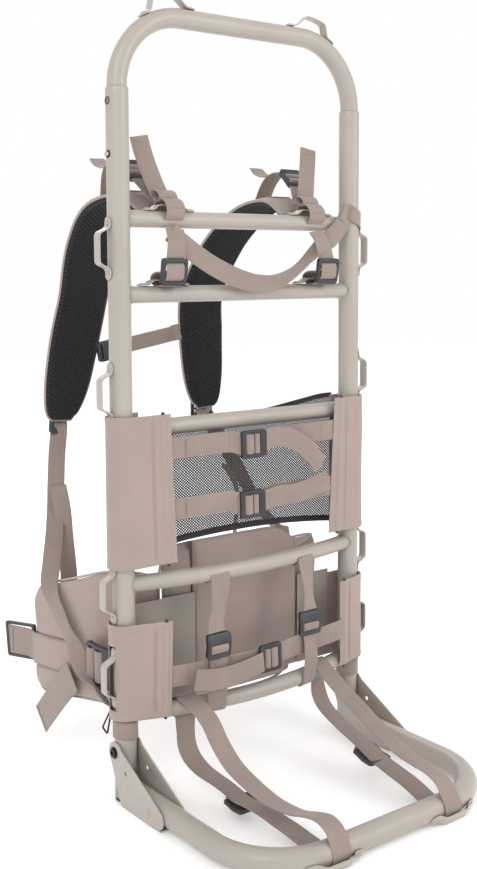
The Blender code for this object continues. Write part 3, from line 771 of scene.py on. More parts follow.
def make_brackets():
    for side, sign in SIDES:
        for index, z in enumerate(SIDE_LASH_Z):
            tube_bracket(f"lash_bracket_{side}_{index + 1}", (sign * HALF_WIDTH, 0, z), (0, 0, 1),
                         (sign, 0, 0),
                         UPRIGHT_R, LASH_RISE)
        tube_bracket(f"bar_1_bracket_{side}", (sign * BAR1_BRACKET_X, 0, BAR_Z[0]), (1, 0, 0), (0, 0, 1),
                     BAR_R,
                     LOW_RISE)
        tube_bracket(f"bar_2_bracket_{side}", (sign * BAR2_BRACKET_X, 0, BAR_Z[1]), (1, 0, 0), (0, 0, 1),
                     BAR_R,
                     LOW_RISE)
        shelf_bracket(side, sign)
        hoop_bracket(side, sign)


def shelf_bracket(side, sign):
    base, straight = SHELF_R + GAP + STRIP_T / 2, HALF_WIDTH - SHELF_CORNER
    mirror = Vector((sign, 1, 1))

    def place(along, off):
        x = SHELF_BRACKET_X + along
        bend = max(0.0, x - straight) / SHELF_CORNER
        level = Vector((math.sin(bend), -math.cos(bend), 0))
        foot = Vector((min(x, straight), SHELF_CORNER - SHELF_DEPTH, SHELF_Z)) + level * SHELF_CORNER
        out = level * math.cos(SHELF_TILT) - Vector((0, 0, math.sin(SHELF_TILT)))
        return (foot + out * (base + off)) * mirror, out * mirror

    ends = [place(u, 0) for u in (-RIVET_PITCH / 2, RIVET_PITCH / 2)]
    node = f"shelf_bracket_{side}"
    strip_bracket(node + "_strip", [place(u, v)[0] for u, v in bridge_profile(LOW_RISE)],
                  (0, -math.sin(SHELF_TILT), math.cos(SHELF_TILT)), [e[0] for e in ends],
                  [e[1] for e in ends],
                  "shelf", node)


def hoop_bracket(side, sign):
    centre = (-(HALF_WIDTH - HOOP_CORNER), HOOP_TOP - HOOP_CORNER)
    base = HOOP_CORNER + HOOP_R + GAP + STRIP_T / 2
    top, foot_end = centre[1] + base, centre[0] + 0.021
    profile = [*arc(centre, base, 124, 115, 2), *arc(centre, base + LASH_RISE, 110, 94, 2),
               (foot_end - 0.012, top), (foot_end, top)]
    rivet_at = arc(centre, base, 119.5, 90, 1)[0]
    lean = Vector((rivet_at[0] - centre[0], 0, rivet_at[1] - centre[1])).normalized()
    mirror = Vector((-sign, 1, 1))
    node = f"hoop_bracket_{side}"
    strip_bracket(node + "_strip", [Vector((x, 0, z)) * mirror for x, z in profile], (0, 1, 0),
                  [Vector((rivet_at[0], 0, rivet_at[1])) * mirror,
                   Vector((foot_end - 0.006, 0, top)) * mirror],
                  [lean * mirror, Vector((0, 0, 1))], "hoop", node)


# ---- Cloth bands and the net ----
def band_path(edge, sign, flare, back):
    """Plan of one side of a band: flap edge, flap, round the outside of the upright, to the back edge."""
    x = sign * HALF_WIDTH
    start = 270 - flare if sign < 0 else -90 + flare
    turn = arc((x, 0), SLEEVE_R, start, 90, 26)
    slope = math.tan(math.radians(flare))
    first = (edge, turn[0][1] - slope * abs(edge - turn[0][0]))
    return [first, *turn, (back, SLEEVE_R)]


def make_cloth_side(name, edge, sign, flare, back, levels, rod_at, seam_at, hem, taper, nodes=(), slot=None):
    """One cloth flap and sleeve, with a stiffener rod in its edge, hems and stitching.

    taper is how much of its full width the flap has at its bottom and top.
    """
    path = even([Vector((x, y, 0)) for x, y in band_path(edge, sign, flare, back)], 0.0022)
    low, high = levels
    rows, top, under = [], [], []
    count = int((high - low) / 0.0028)
    hems = [0.0, 0.0012, 0.003] + [0.003 + (high - low - 0.006) * k / count for k in range(1, count)] \
        + [high - low - 0.003, high - low - 0.0012, high - low]

    def channel(p):
        return math.exp(-((abs(p.x) - abs(rod_at)) / 0.0036) ** 4) if p.y < -0.012 else 0.0

    def push(p, h):
        """How far the cloth stands out of its path: wrinkles, and creases along its seams."""
        soft = noise.noise(Vector((p.x * 34, p.y * 34, (low + h) * 15 + sign * 7)))
        fine = noise.noise(Vector((p.x * 110, p.y * 110 + 5, (low + h) * 26)))
        off = (0.0007 * soft + 0.00025 * fine) * (1 if p.y < 0 else 0.4)
        if p.y < -0.012:
            off -= 0.0008 * math.exp(-((abs(p.x) - abs(seam_at)) / 0.0013) ** 2)
        end = min(h, high - low - h)
        return max(-0.0012, off - 0.0005 * math.exp(-((end - hem) / 0.0010) ** 2))

    def place(p, h):
        """The path's point at a height, drawn in where the flap is narrower."""
        share = taper[0] + (taper[1] - taper[0]) * h / (high - low)
        inside = sign * p.x < HALF_WIDTH and p.y < 0
        return Vector((sign * HALF_WIDTH + (p.x - sign * HALF_WIDTH) * share if inside else p.x, p.y,
                       low + h))

    outs = []
    for i, p in enumerate(path):
        run = (path[min(len(path) - 1, i + 1)] - path[max(0, i - 1)]).normalized()
        outs.append(outward(p, sign, run))
        row, half_row = [], []
        for h in hems:
            row.append(place(p, h) + outs[-1] * push(p, h))
            end = min(h, high - low - h)
            half = 0.0005 + (0.0004 if end < hem else 0.0) + 0.0024 * channel(p)
            if end < 0.0005 or i in (0, len(path) - 1):
                half *= 0.45
            half_row.append(half)
        rows.append(row)
        top.append(half_row)
        under.append(half_row)
    hole = None
    if slot:
        def hole(p):
            return abs(p[1]) < 0.0075 and p[0] * sign > HALF_WIDTH and slot[0] < p[2] < slot[1]
    cloth_side = slab(name, rows, np.array(top), np.array(under), FABRIC, "frame", nodes, 55.0, hole=hole)
    levels_in = even([Vector((0, 0, 0.003)), Vector((0, 0, high - low - 0.003))], 0.004)
    for dx in (0.0, 0.0011):
        near = min((k for k, p in enumerate(path) if p.y < -0.012),
                   key=lambda k: abs(path[k].x - seam_at - sign * dx))
        sew([place(path[near], h.z) + Vector((sign * dx, 0, 0)) + outs[near] * (push(path[near],
                                                                                     h.z) + 0.0006)
             for h in levels_in], outs[near])
    for h in (hem, high - low - hem):
        sew([place(p, h) + o * (push(p, h) + 0.0007 + 0.0024 * channel(p)) for p, o in zip(path, outs)],
            outs)
    return cloth_side


def outward(p, sign, run):
    """Away from the upright, square to the cloth's path."""
    out = Vector((run.y, -run.x, 0)).normalized()
    centre = Vector((sign * HALF_WIDTH, 0, 0))
    return out if out.dot(Vector((p.x, p.y, 0)) - centre) > 0 else -out


def stiffener(bag, x, y, low, high, taper):
    """Black rod in a flap's edge: its rounded ends show just outside the hem."""
    middle = math.copysign(HALF_WIDTH, x)
    for way, z, share in ((1, high, taper[1]), (-1, low, taper[0])):
        bag.lathe((middle + (x - middle) * share, y, z - way * 0.01), (0, 0, way),
                  [(0, 0), (0.0021, 0.0), (0.0021, 0.0115), (0.0015, 0.0126),
                                                       (0, 0.0129)], 14)


def make_bands():
    upper, lower = (0.270, 0.4415), (0.097, 0.207)
    rods = Bag()
    for name, edge, sign, flare, back, levels, rod_at, seam_at, hem, taper, nodes, slot in (
            ("upper_band_left", -0.106, -1, 0, -0.138, upper, -0.1185, -0.1350, 0.009, (0.945, 0.835),
             ("back_band_upper",), None),
            ("upper_band_right", 0.126, 1, 0, 0.1545, upper, 0.1385, 0.1500, 0.009, (1.07, 0.86), (), None),
            ("lower_band_left", -0.118, -1, 14, -0.064, lower, -0.1265, -0.1400, 0.007, (0.80, 0.86),
             ("back_band_lower",), (0.108, 0.182)),
            ("lower_band_right", 0.131, 1, 14, 0.100, lower, 0.1400, 0.1520, 0.007, (0.95, 0.95), (),
             (0.108, 0.182))):
        make_cloth_side(name, edge, sign, flare, back, levels, rod_at, seam_at, hem, taper, nodes, slot)
        slope = math.tan(math.radians(flare))
        reach = HALF_WIDTH + SLEEVE_R * math.sin(math.radians(flare)) - abs(rod_at)
        y = -SLEEVE_R * math.cos(math.radians(flare)) - slope * reach
        stiffener(rods, rod_at, y, *levels, taper)
    rods.make("stiffener_rods", PLASTIC)
    for side, (start, end, top) in (("left", (-0.1500, -0.0620, 0.2190)),
                                    ("right", (0.0980, 0.1500, 0.2130))):
        grid = []
        for i in range(24):
            x = start + (end - start) * i / 23
            grid.append([(x, SLEEVE_R - 0.0020 + 0.0010 * noise.noise(Vector((x * 30, 2, z * 20))), z)
                         for z in (0.099 + (top - 0.099) * j / 29 for j in range(30))])
        lining = slab(f"lower_band_{side}_lining", grid, 0.0004, 0.0004, LINING)
    make_net()


def net_low(x):
    """The net's lower edge is pulled up a little in the middle."""
    return 0.2805 + 0.0095 * (1 - (x / 0.15) ** 2)


def net_high(x):
    return 0.4285 + 0.0125 * max(0.0, min(1.0, (x - 0.05) / 0.09))


def make_net():
    """Open black net across the back, of two crossing families of yarn, bound at its edges."""
    left, right = -0.1430, 0.1580
    y = SLEEVE_R + 0.0012
    pitch, radius = 0.0026, 0.00070
    bag = Bag()
    for family, (dx, dz) in enumerate(((0.766, 0.643), (-0.766, 0.643))):
        across = Vector((-dz, 0, dx))
        middle = Vector(((left + right) / 2, 0, 0.36))
        half_span, reach = 0.20, 0.21
        for k in range(-int(half_span / pitch), int(half_span / pitch) + 1):
            base = middle + across * (k * pitch)
            inside, run = [], []
            steps = 200
            for i in range(steps + 1):
                p = base + Vector((dx, 0, dz)) * (reach * (2 * i / steps - 1))
                ok = left < p.x < right and net_low(p.x) < p.z < net_high(p.x)
                if ok:
                    run.append(p)
                elif run:
                    inside.append(run)
                    run = []
            if run:
                inside.append(run)
            for run in inside:
                if len(run) > 2:
                    off = Vector((0, y + (0.0003 if family else -0.0003), 0))
                    bag.rod(run[0] + off, run[-1] + off, radius, 5)
    net = bag.make("back_net", NET_YARN, "frame", (), 50.0)
    xs = [left + (right - left) * i / 24 for i in range(25)]
    ribbon("net_binding_low", [((x, y, net_low(x) - 0.001), (0, 0, 1), 0.0075) for x in xs], BLACK_TAPE,
           thickness=0.0026, steps=2)
    ribbon("net_binding_top", [((x, y, net_high(x)), (0, 0, 1), 0.0060) for x in xs], BLACK_TAPE,
           thickness=0.0026, steps=2)
    for x in (left + 0.002, right - 0.002):
        sew([(x, y + 0.0022, 0.285), (x, y + 0.0022, 0.426)], (0, 1, 0))


# ---- Buckles ----
def buckle_frame(name, centre, along, out, size, windows, thickness=0.0042, rim=0.0042, lip=0.0022,
                 arch=0.0016, nodes=(), body="frame"):
    """Moulded buckle with slots. windows are (from, to) along it; it arches outward and its far edge lifts."""
    centre, along, out = Vector(centre), Vector(along).normalized(), Vector(out).normalized()
    out = (out - along * out.dot(along)).normalized()
    across = out.cross(along)
    length, width = size
    us = sorted({-length / 2, length / 2, *[w for pair in windows for w in pair]})
    vs = [-width / 2, -width / 2 + rim, width / 2 - rim, width / 2]
    bm = bmesh.new()
    grid = [[bm.verts.new((u, v, thickness / 2)) for v in vs] for u in us]
    for i in range(len(us) - 1):
        for j in range(3):
            open_here = any(abs(us[i] - a) < 1e-6 and abs(us[i + 1] - b) < 1e-6 for a, b in windows)
            if j != 1 or not open_here:
                bm.faces.new((grid[i][j], grid[i + 1][j], grid[i + 1][j + 1], grid[i][j + 1]))
    made = bmesh.ops.extrude_face_region(bm, geom=list(bm.faces))
    for v in (g for g in made["geom"] if isinstance(g, bmesh.types.BMVert)):
        v.co.z -= thickness
    bmesh.ops.recalc_face_normals(bm, faces=bm.faces)

    def standing(e):
        a, b = e.verts
        return abs(a.co.x - b.co.x) < 1e-7 and abs(a.co.y - b.co.y) < 1e-7

    corners = [e for e in bm.edges if standing(e) and abs(abs(e.verts[0].co.x) - length / 2) < 1e-6
               and abs(abs(e.verts[0].co.y) - width / 2) < 1e-6]
    bmesh.ops.bevel(bm, geom=corners, offset=rim * 0.9, segments=5, affect="EDGES", profile=0.5)
    inner = [e for e in bm.edges if standing(e) and abs(e.verts[0].co.y) < width / 2 - rim * 0.5
             and abs(e.verts[0].co.x) < length / 2 - rim * 0.2]
    bmesh.ops.bevel(bm, geom=inner, offset=0.0009, segments=3, affect="EDGES", profile=0.5)
    sharp = [e for e in bm.edges if len(e.link_faces) == 2 and e.calc_face_angle(0) > 0.9]
    bmesh.ops.bevel(bm, geom=sharp, offset=thickness * 0.26, segments=3, affect="EDGES", profile=0.5,
                    clamp_overlap=True)
    for v in bm.verts:
        u = v.co.x / (length / 2)
        rise = -arch * u * u
        if u > 0.62:
            rise += lip * ((u - 0.62) / 0.38) ** 1.6
        v.co.z += rise
    mesh = bpy.data.meshes.new(name)
    bm.to_mesh(mesh)
    bm.free()
    mesh.transform(Matrix((along, across, out)).transposed().to_4x4())
    mesh.transform(Matrix.Translation(centre))
    obj = bpy.data.objects.new(name, mesh)
    bpy.context.scene.collection.objects.link(obj)
    return dress(obj, PLASTIC, body, nodes, 38.0)


def local_rows(centre, along, out, points, width):
    """Ribbon rows from (along, out) offsets about a buckle's middle."""
    centre, along, out = Vector(centre), Vector(along).normalized(), Vector(out).normalized()
    out = (out - along * out.dot(along)).normalized()
    return [(centre + along * u + out * w, out.cross(along), width) for u, w in points]


def ladder_lock(label, centre, along, out, width=0.0335, nodes=(), body="frame", length=0.034, capped=False):
    """Ladder-lock with webbing drawn over its bar; a capped one has a shell in place of its first window."""
    half = length / 2
    edge, bar, arch = (0.0050, -0.0012, 0.0034) if capped else (0.0075, 0.0010, 0.0016)
    buckle_frame(f"ladder_lock_{label}_frame", centre, along, out, (length, width),
                 [(-half + 0.0050, -0.0006), (bar, half - edge)][capped:], thickness=0.0050, rim=0.0046,
                 lip=0.0036, arch=arch, nodes=nodes, body=body)
    wide = width - 0.0100
    rows = [(half + 0.002, -0.0024), (half - edge - 0.0003, -0.0020), (half - edge - 0.0015, 0.0014),
            (bar + 0.0050, 0.0030), (bar + 0.0020, 0.0030), (bar - 0.0002, 0.0012), (bar - 0.0004, -0.0006)]
    ribbon(f"lock_webbing_{label}_b", local_rows(centre, along, out, rows, wide), body=body, steps=4)
    if not capped:
        rows = [(-half - 0.003, -0.0030), (-half + 0.0052, -0.0024), (-half + 0.0068, 0.0014),
                (-0.0070, 0.0030), (-0.0028, 0.0030), (-0.0004, 0.0012), (-0.0002, -0.0006)]
        ribbon(f"lock_webbing_{label}_a", local_rows(centre, along, out, rows, wide), body=body, steps=4)


# ---- Band straps ----
def cross_sew(centre, across, normal, width):
    """A row of stitches across a strap."""
    centre, across = Vector(centre), Vector(across).normalized()
    half = across * (width / 2 - SEAM_INSET)
    sew([centre - half, centre + half], normal, pitch=0.0028)


def on_edge(points, width=WEB_W):
    """Ribbon rows of webbing that stands on edge, its width straight up."""
    return [(p, (0, 0, 1), width) for p in points]


def make_band_straps():
    front = Vector((0, -1, 0))
    y = -0.0182
    for label, z, left_end, right_end, lock, lock_z in (
            ("upper_1", 0.4015, -0.1190, 0.1350, -0.002, 0.3970),
            ("upper_2", 0.3310, -0.1160, 0.1310, -0.004, 0.3245)):
        rows = on_edge([(left_end, y + 0.0032, z), (left_end + 0.007, y + 0.0020, z), (-0.098, y + 0.0004, z),
                        (-0.06, y, z + 0.0006), (lock - 0.030, y - 0.0002, z)])
        rows += on_edge([(lock - 0.0160, y - 0.0012, lock_z)], WEB_W - 0.001)
        ribbon(f"band_strap_{label}_left", rows, nodes=(f"band_strap_{label}",), steps=6, flutter=0.0006)
        rows = on_edge([(lock + 0.0160, y - 0.0012, lock_z)], WEB_W - 0.001)
        rows += on_edge([(lock + 0.035, y + 0.0004, z + 0.0003), (0.075, y + 0.0008, z + 0.0002),
                         (0.115, y + 0.0006, z), (right_end - 0.007, y + 0.0020, z),
                         (right_end, y + 0.0034, z)])
        ribbon(f"band_strap_{label}_right", rows, steps=6, flutter=0.0006)
        for x in (-0.0980, -0.0965, lock - 0.033, lock - 0.0255, 0.1085):
            cross_sew((x, y - 0.0009, z), (0, 0, 1), front, WEB_W)
        ladder_lock(label, (lock, y - 0.0044, lock_z), (1, 0, 0.03), front, nodes=(f"ladder_lock_{label}",))
    tail = [((0.0130, -0.0240, 0.3985), (0, 0, 1), 0.0245), ((0.0300, -0.0246, 0.4025), (0.03, 0, 1), WEB_W),
            ((0.0480, -0.0262, 0.4000), (0.18, 0.02, 1), WEB_W),
            ((0.0660, -0.0285, 0.3915), (0.42, 0.05, 1), WEB_W),
            ((0.0820, -0.0298, 0.3790), (0.68, 0.08, 1), WEB_W),
            ((0.0985, -0.0300, 0.3615), (0.95, 0.08, 1), WEB_W)]
    ribbon("band_tail_upper_1", tail, steps=7)
    tail = [((0.0100, -0.0240, 0.3255), (0, 0, 1), 0.0245), ((0.0350, -0.0240, 0.3300), (0, 0, 1), WEB_W),
            ((0.0600, -0.0246, 0.3296), (-0.02, 0, 1), WEB_W),
            ((0.0840, -0.0235, 0.3330), (-0.10, 0.05, 1), WEB_W),
            ((0.1050, -0.0215, 0.3375), (-0.16, 0.16, 1), WEB_W),
            ((0.1200, -0.0195, 0.3400), (-0.2, 0.2, 1), WEB_W)]
    ribbon("band_tail_upper_2", tail, steps=7)
    z = 0.1450
    flap = -0.0335
    lock = Vector((0.006, -0.0435, 0.1400))
    rows = on_edge([(-0.1330, flap + 0.0065, z - 0.003), (-0.1250, flap + 0.0035, z - 0.003),
                    (-0.100, flap - 0.0028, z - 0.003), (-0.060, flap - 0.0055, z - 0.0035)])
    rows += on_edge([(-0.012, lock.y + 0.0024, z - 0.0045)], 0.0245)
    ribbon("band_strap_lower_left", rows, nodes=("band_strap_lower",), steps=6, flutter=0.0006)
    rows = on_edge([(0.0225, lock.y + 0.0026, z - 0.0030)], 0.0245)
    rows += on_edge([(0.055, flap - 0.0060, z), (0.100, flap - 0.0026, z + 0.0010),
                     (0.1300, flap + 0.0030, z + 0.001), (0.1370, flap + 0.0065, z + 0.001)])
    ribbon("band_strap_lower_right", rows, steps=6, flutter=0.0006)
    ladder_lock("lower", lock, (-1, 0.04, -0.03), front, nodes=("ladder_lock_lower",))
    tail = [((-0.0080, -0.0485, 0.1390), (0, 0, 1), 0.0245), ((-0.0300, -0.0510, 0.1365), (0.06, 0, 1),
                                                              WEB_W),
            ((-0.0550, -0.0530, 0.1345), (0.02, 0.05, 1), WEB_W),
            ((-0.0800, -0.0535, 0.1350), (-0.05, 0.08, 1), WEB_W),
            ((-0.0980, -0.0528, 0.1378), (-0.12, 0.04, 1), WEB_W),
            ((-0.1090, -0.0520, 0.1400), (-0.14, 0, 1), WEB_W)]
    ribbon("band_tail_lower", tail, steps=7)
    for x, y in ((-0.1095, -0.0362), (0.1170, -0.0362), (0.1085, -0.0370), (0.0400, -0.0422),
                 (0.0470, -0.0418)):
        cross_sew((x, y - 0.0012, z - 0.002), (0, 0, 1), front, WEB_W)


# ---- Padded pieces ----
def puff(obj, pressure, cap, frames=18):
    """Swells a closed cloth shell by simulation; no point moves further than the cap."""
    scene = bpy.context.scene
    rest = np.empty(len(obj.data.vertices) * 3)
    obj.data.vertices.foreach_get("co", rest)
    rest = rest.reshape(-1, 3)
    cloth_mod = obj.modifiers.new("cloth", "CLOTH")
    settings = cloth_mod.settings
    settings.quality = 4
    settings.mass = 0.15
    settings.tension_stiffness = settings.compression_stiffness = 22
    settings.bending_stiffness = 1.2
    settings.use_pressure = True
    settings.uniform_pressure_force = pressure
    settings.effector_weights.gravity = 0
    cloth_mod.point_cache.frame_end = frames + 2
    for step in range(1, frames + 1):
        scene.frame_set(step)
    evaluated = obj.evaluated_get(bpy.context.evaluated_depsgraph_get())
    moved = np.empty(len(rest) * 3)
    evaluated.data.vertices.foreach_get("co", moved)
    moved = moved.reshape(-1, 3) - rest
    far = np.linalg.norm(moved, axis=1, keepdims=True)
    moved *= np.minimum(1.0, cap / np.maximum(far, 1e-9))
    obj.modifiers.clear()
    obj.data.vertices.foreach_set("co", (rest + moved).ravel())
    obj.data.update()
    scene.frame_set(1)
    return obj


def refine(obj, levels=1):
    """Subdivides a piece for real, keeping its cloth coordinates."""
    mod = obj.modifiers.new("refine", "SUBSURF")
    mod.levels = mod.render_levels = levels
    apply_modifiers(obj)
    obj.data.shade_smooth()


def reshape(obj, change):
    """Moves each point of a piece by change(point), a small vector."""
    for v in obj.data.vertices:
        v.co += change(v.co)
    obj.data.update()


def make_lumbar_pad():
    cols, rows = 44, 42
    grid, top = [], []
    for i in range(cols + 1):
        u = 2 * i / cols - 1
        line, half = [], []
        for j in range(rows + 1):
            v = 2 * j / rows - 1
            x = 0.1035 * u * (1 - 0.045 * abs(v) ** 5)
            z = 0.180 + 0.1030 * v * (1 - 0.045 * abs(u) ** 5)
            edge = (1 - abs(u) ** 7) * (1 - abs(v) ** 7)
            line.append((x, 0.0315, z))
            half.append(0.0012 + 0.0052 * max(0.0, edge) ** 0.5)
        grid.append(line)
        top.append(half)
    pad = slab("lumbar_pad_cushion", grid, np.array(top), np.array(top), FABRIC, None, (), 70.0)
    puff(pad, 4.0, 0.0048)
    refine(pad)
    seams = (-0.0600, 0.0880)

    def sewn(p):
        middle = 0.0315
        side = p.y - middle
        pinch = sum(math.exp(-((p.x - s) / 0.0026) ** 2) for s in seams)
        pinch += 0.7 * math.exp(-((p.z - 0.272) / 0.0022) ** 2) if abs(p.x) < 0.10 else 0
        wrinkle = 0.0007 * noise.noise(Vector((p.x * 45, 1, p.z * 16))) \
            + 0.0006 * noise.noise(Vector((p.x * 20, 4, p.z * 40)))
        limit = SLEEVE_R + 0.0022
        y = p.y - side * 0.62 * min(1.0, pinch) + wrinkle * (1 if side > 0 else -1)
        return Vector((0, max(y, limit) - p.y, 0))

    reshape(pad, sewn)
    pad_y = 0.0315 - 0.0062
    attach(pad, "frame")
    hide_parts("lumbar_pad")
    for s in seams:
        sew([(s, 0.0286, 0.084), (s, 0.0286, 0.268)], (0, -1, 0))
        sew([(s, 0.0344, 0.084), (s, 0.0344, 0.268)], (0, 1, 0))
    make_lumbar_panel()
    edge = []
    for k in range(120):
        t = 2 * math.pi * k / 120
        c, s = math.cos(t), math.sin(t)
        u, v = (abs(c) ** 0.28) * (1 if c > 0 else -1), (abs(s) ** 0.28) * (1 if s > 0 else -1)
        edge.append((0.1035 * u * (1 - 0.045 * abs(v) ** 5), 0.0315,
                     0.180 + 0.1030 * v * (1 - 0.045 * abs(u) ** 5)))
    tube("lumbar_pad_piping", edge, 0.0017, BINDING, closed=True, sides=10, up=(0, 1, 0))
    return pad_y


def make_lumbar_panel():
    """Raised panel sewn on the pad's load side."""
    grid, top = [], []
    cols, rows = 34, 40
    for i in range(cols + 1):
        u = 2 * i / cols - 1
        line, half = [], []
        for j in range(rows + 1):
            v = 2 * j / rows - 1
            x, z = 0.0175 + 0.0800 * u, 0.1890 + 0.0920 * v
            cut = max(0.0, (x - 0.080) + (z - 0.262))
            if u > 0:
                z -= cut * 0.55
            wrinkle = 0.0009 * noise.noise(Vector((x * 26, 3, z * 18))) * (1 - abs(u) ** 3)
            line.append((x, 0.0190 + wrinkle, z))
            half.append(0.0009 + 0.0042 * max(0.0, (1 - u ** 8) * (1 - v ** 8)) ** 0.5)
        grid.append(line)
        top.append(half)
    panel = slab("lumbar_pad_panel", grid, np.array(top), np.array(top), FABRIC, "frame", (), 70.0)
    for x in (-0.0600, 0.0945):
        sew([(x, 0.0158, 0.102), (x, 0.0158, 0.268)], (0, -1, 0))


WING = ((0.1040, 0.0330, 0.092, 0.240), (0.1260, 0.0350, 0.091, 0.248), (0.1480, 0.0460, 0.091, 0.2520),
        (0.1610, 0.0720, 0.090, 0.2465), (0.1680, 0.1200, 0.083, 0.2310), (0.1720, 0.1650, 0.073, 0.2170),
        (0.1725, 0.1960, 0.072, 0.2050), (0.1722, 0.2100, 0.084, 0.1900))


def make_belt():
    for side, sign in SIDES:
        knots = curve_through([(sign * x, y, low, high) for x, y, low, high in WING], 6)
        grid, top = [], []
        count = 30
        for i, (x, y, low, high) in enumerate(knots):
            line, half = [], []
            for j in range(count + 1):
                v = 2 * j / count - 1
                u = 2 * i / (len(knots) - 1) - 1
                line.append((x, y, (low + high) / 2 + (high - low) / 2 * v))
                edge = (1 - abs(v) ** 6) * (1 - abs(u) ** 14)
                half.append(0.0010 + 0.0034 * max(0.0, edge) ** 0.5)
            grid.append(line)
            top.append(half)
        wing = slab(f"belt_wing_{side}_pad", grid, np.array(top), np.array(top), FABRIC, None, (), 70.0)
        puff(wing, 3.2, 0.0022)
        refine(wing)
        plan = [Vector((x, y, 0)) for x, y, *_ in knots]

        def sewn(p, plan=plan, sign=sign):
            near = min(range(len(plan)), key=lambda k: (plan[k].x - p.x) ** 2 + (plan[k].y - p.y) ** 2)
            a, b = plan[max(0, near - 1)], plan[min(len(plan) - 1, near + 1)]
            run = (b - a).normalized()
            out = Vector((run.y, -run.x, 0)) * (1 if sign > 0 else -1)
            off = (Vector((p.x, p.y, 0)) - plan[near]).dot(out)
            band_low, band_high = belt_band(plan[near].y)
            pinch = math.exp(-((p.z - band_low) / 0.0022) ** 2) + math.exp(-((p.z - band_high) / 0.0022) ** 2)
            rough = 0.0007 * noise.noise(Vector((p.x * 30 + 9 * sign, p.y * 24, p.z * 42)))
            return out * (-off * 0.5 * min(1.0, pinch) + rough * (1 if off > 0 else -1))

        reshape(wing, sewn)
        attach(wing, "frame")
        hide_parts(f"belt_wing_{side}")
        edge = [(x, y, high) for x, y, low, high in knots] + [(x, y, low) for x, y, low, high in knots[::-1]]
        tube(f"belt_wing_{side}_piping", edge, 0.0015, BINDING, closed=True, sides=10,
             up=(0.3 * sign, 0.2, 0))
        make_belt_webbing(side, sign, knots)


def belt_band(y):
    """Lower and upper edge of the band of webbing sewn along the wing."""
    middle = 0.1200 + 0.012 * max(0.0, 1 - abs(y - 0.12) / 0.12)
    return middle - 0.0200, middle + 0.0200


def make_belt_webbing(side, sign, knots):
    """The sewn band, the belt webbing through its tri-glide, its loose tail, and the buckle half at its end."""
    rows, low_line, high_line, outs = [], [], [], []
    for i, (x, y, _, _) in enumerate(knots):
        if y < 0.062:
            continue
        a, b = knots[max(0, i - 1)], knots[min(len(knots) - 1, i + 1)]
        run = Vector((b[0] - a[0], b[1] - a[1], 0)).normalized()
        out = Vector((run.y, -run.x, 0)) * (1 if sign > 0 else -1)
        low, high = belt_band(y)
        p = Vector((x, y, (low + high) / 2)) + out * 0.0062
        rows.append((p, (0, 0, 1), high - low))
        low_line.append(p + Vector((0, 0, -(high - low) / 2 + 0.0014)) + out * 0.0008)
        high_line.append(p + Vector((0, 0, (high - low) / 2 - 0.0014)) + out * 0.0008)
        outs.append(out)
    ribbon(f"belt_band_{side}", rows[::2] + [rows[-1]] if len(rows) % 2 == 0 else rows[::2], FABRIC,
           thickness=0.0012, steps=2)
    sew(low_line, outs)
    sew(high_line, outs)
    start = rows[-1][0]
    belt = on_edge([start + Vector((-0.0012 * sign, -0.012, 0)), (sign * 0.1765, 0.2230, 0.1245),
                    (sign * 0.1795, 0.2400, 0.1235), (sign * 0.1835, 0.2580, 0.1222),
                    (sign * 0.1850, 0.2660, 0.1216)], BELT_W)
    ribbon(f"belt_webbing_{side}", belt, steps=5)
    axis = Vector((sign * 0.0133, 0.0590, -0.006)).normalized()
    face = Vector((sign, -0.22, 0))
    buckle_frame(f"belt_buckle_{side}_frame", (sign * 0.1790, 0.2422, 0.1242), axis, face, (0.0580, 0.0462),
                 [(-0.0240, 0.0242)], thickness=0.0046, rim=0.0036, lip=0.0, arch=0.0,
                 nodes=(f"belt_buckle_{side}",))
    for off in (0.2660 - 0.0105, 0.2660 - 0.0090):
        cross_sew((sign * (0.1835 + 0.0010), off, 0.1222), (0, 0, 1), (sign, 0, 0), 0.038)
    glide = Vector((sign * 0.1790, 0.0450, 0.1455))
    buckle_frame(f"belt_triglide_{side}", glide, (0, 1, 0), (sign, 0, 0), (0.0540, 0.0470),
                 [(-0.0115, 0.0045), (0.0065, 0.0225)], thickness=0.0056, rim=0.0044, lip=0.001, arch=0.003)
    for k, (a, b) in enumerate(((-0.0115, 0.0045), (0.0065, 0.0225))):
        middle, half = (a + b) / 2, (b - a) / 2
        rows = local_rows(glide + Vector((sign * 0.0012, 0, 0)), (0, 1, 0), (sign, 0, 0),
                          [(middle - half, -0.0035), (middle - half * 0.85, 0.0012),
                           (middle - half * 0.3, 0.0036),
                           (middle + half * 0.3, 0.0036), (middle + half * 0.85, 0.0012),
                           (middle + half, -0.0035)],
                          0.0370)
        ribbon(f"belt_triglide_roll_{side}_{k + 1}", rows, steps=4)
    tail = [((sign * 0.1805, y, z), (0, 0.70, 0.69), 0.038) for y, z in
            ((0.1060, 0.1150), (0.1340, 0.0895), (0.1620, 0.0625), (0.1895, 0.0350))]
    ribbon(f"belt_tail_{side}", tail, steps=6)
    end = Vector((sign * 0.1805, 0.1855, 0.0390))
    for k in (0.0, 0.0012):
        cross_sew(end + Vector((sign * 0.0009, k, -k)), (0, 0.70, 0.69), (sign, 0, 0), 0.038)


PAD_KNOTS = ((0.105, 0.0225, 0.6715, 0.052), (0.107, 0.060, 0.6900, 0.060), (0.110, 0.122, 0.6790, 0.068),
             (0.102, 0.178, 0.6350, 0.070), (0.094, 0.216, 0.5700, 0.070), (0.101, 0.229, 0.5120, 0.070),
             (0.109, 0.236, 0.4570, 0.064), (0.1155, 0.240, 0.4220, 0.048), (0.1165, 0.241, 0.4080, 0.028))


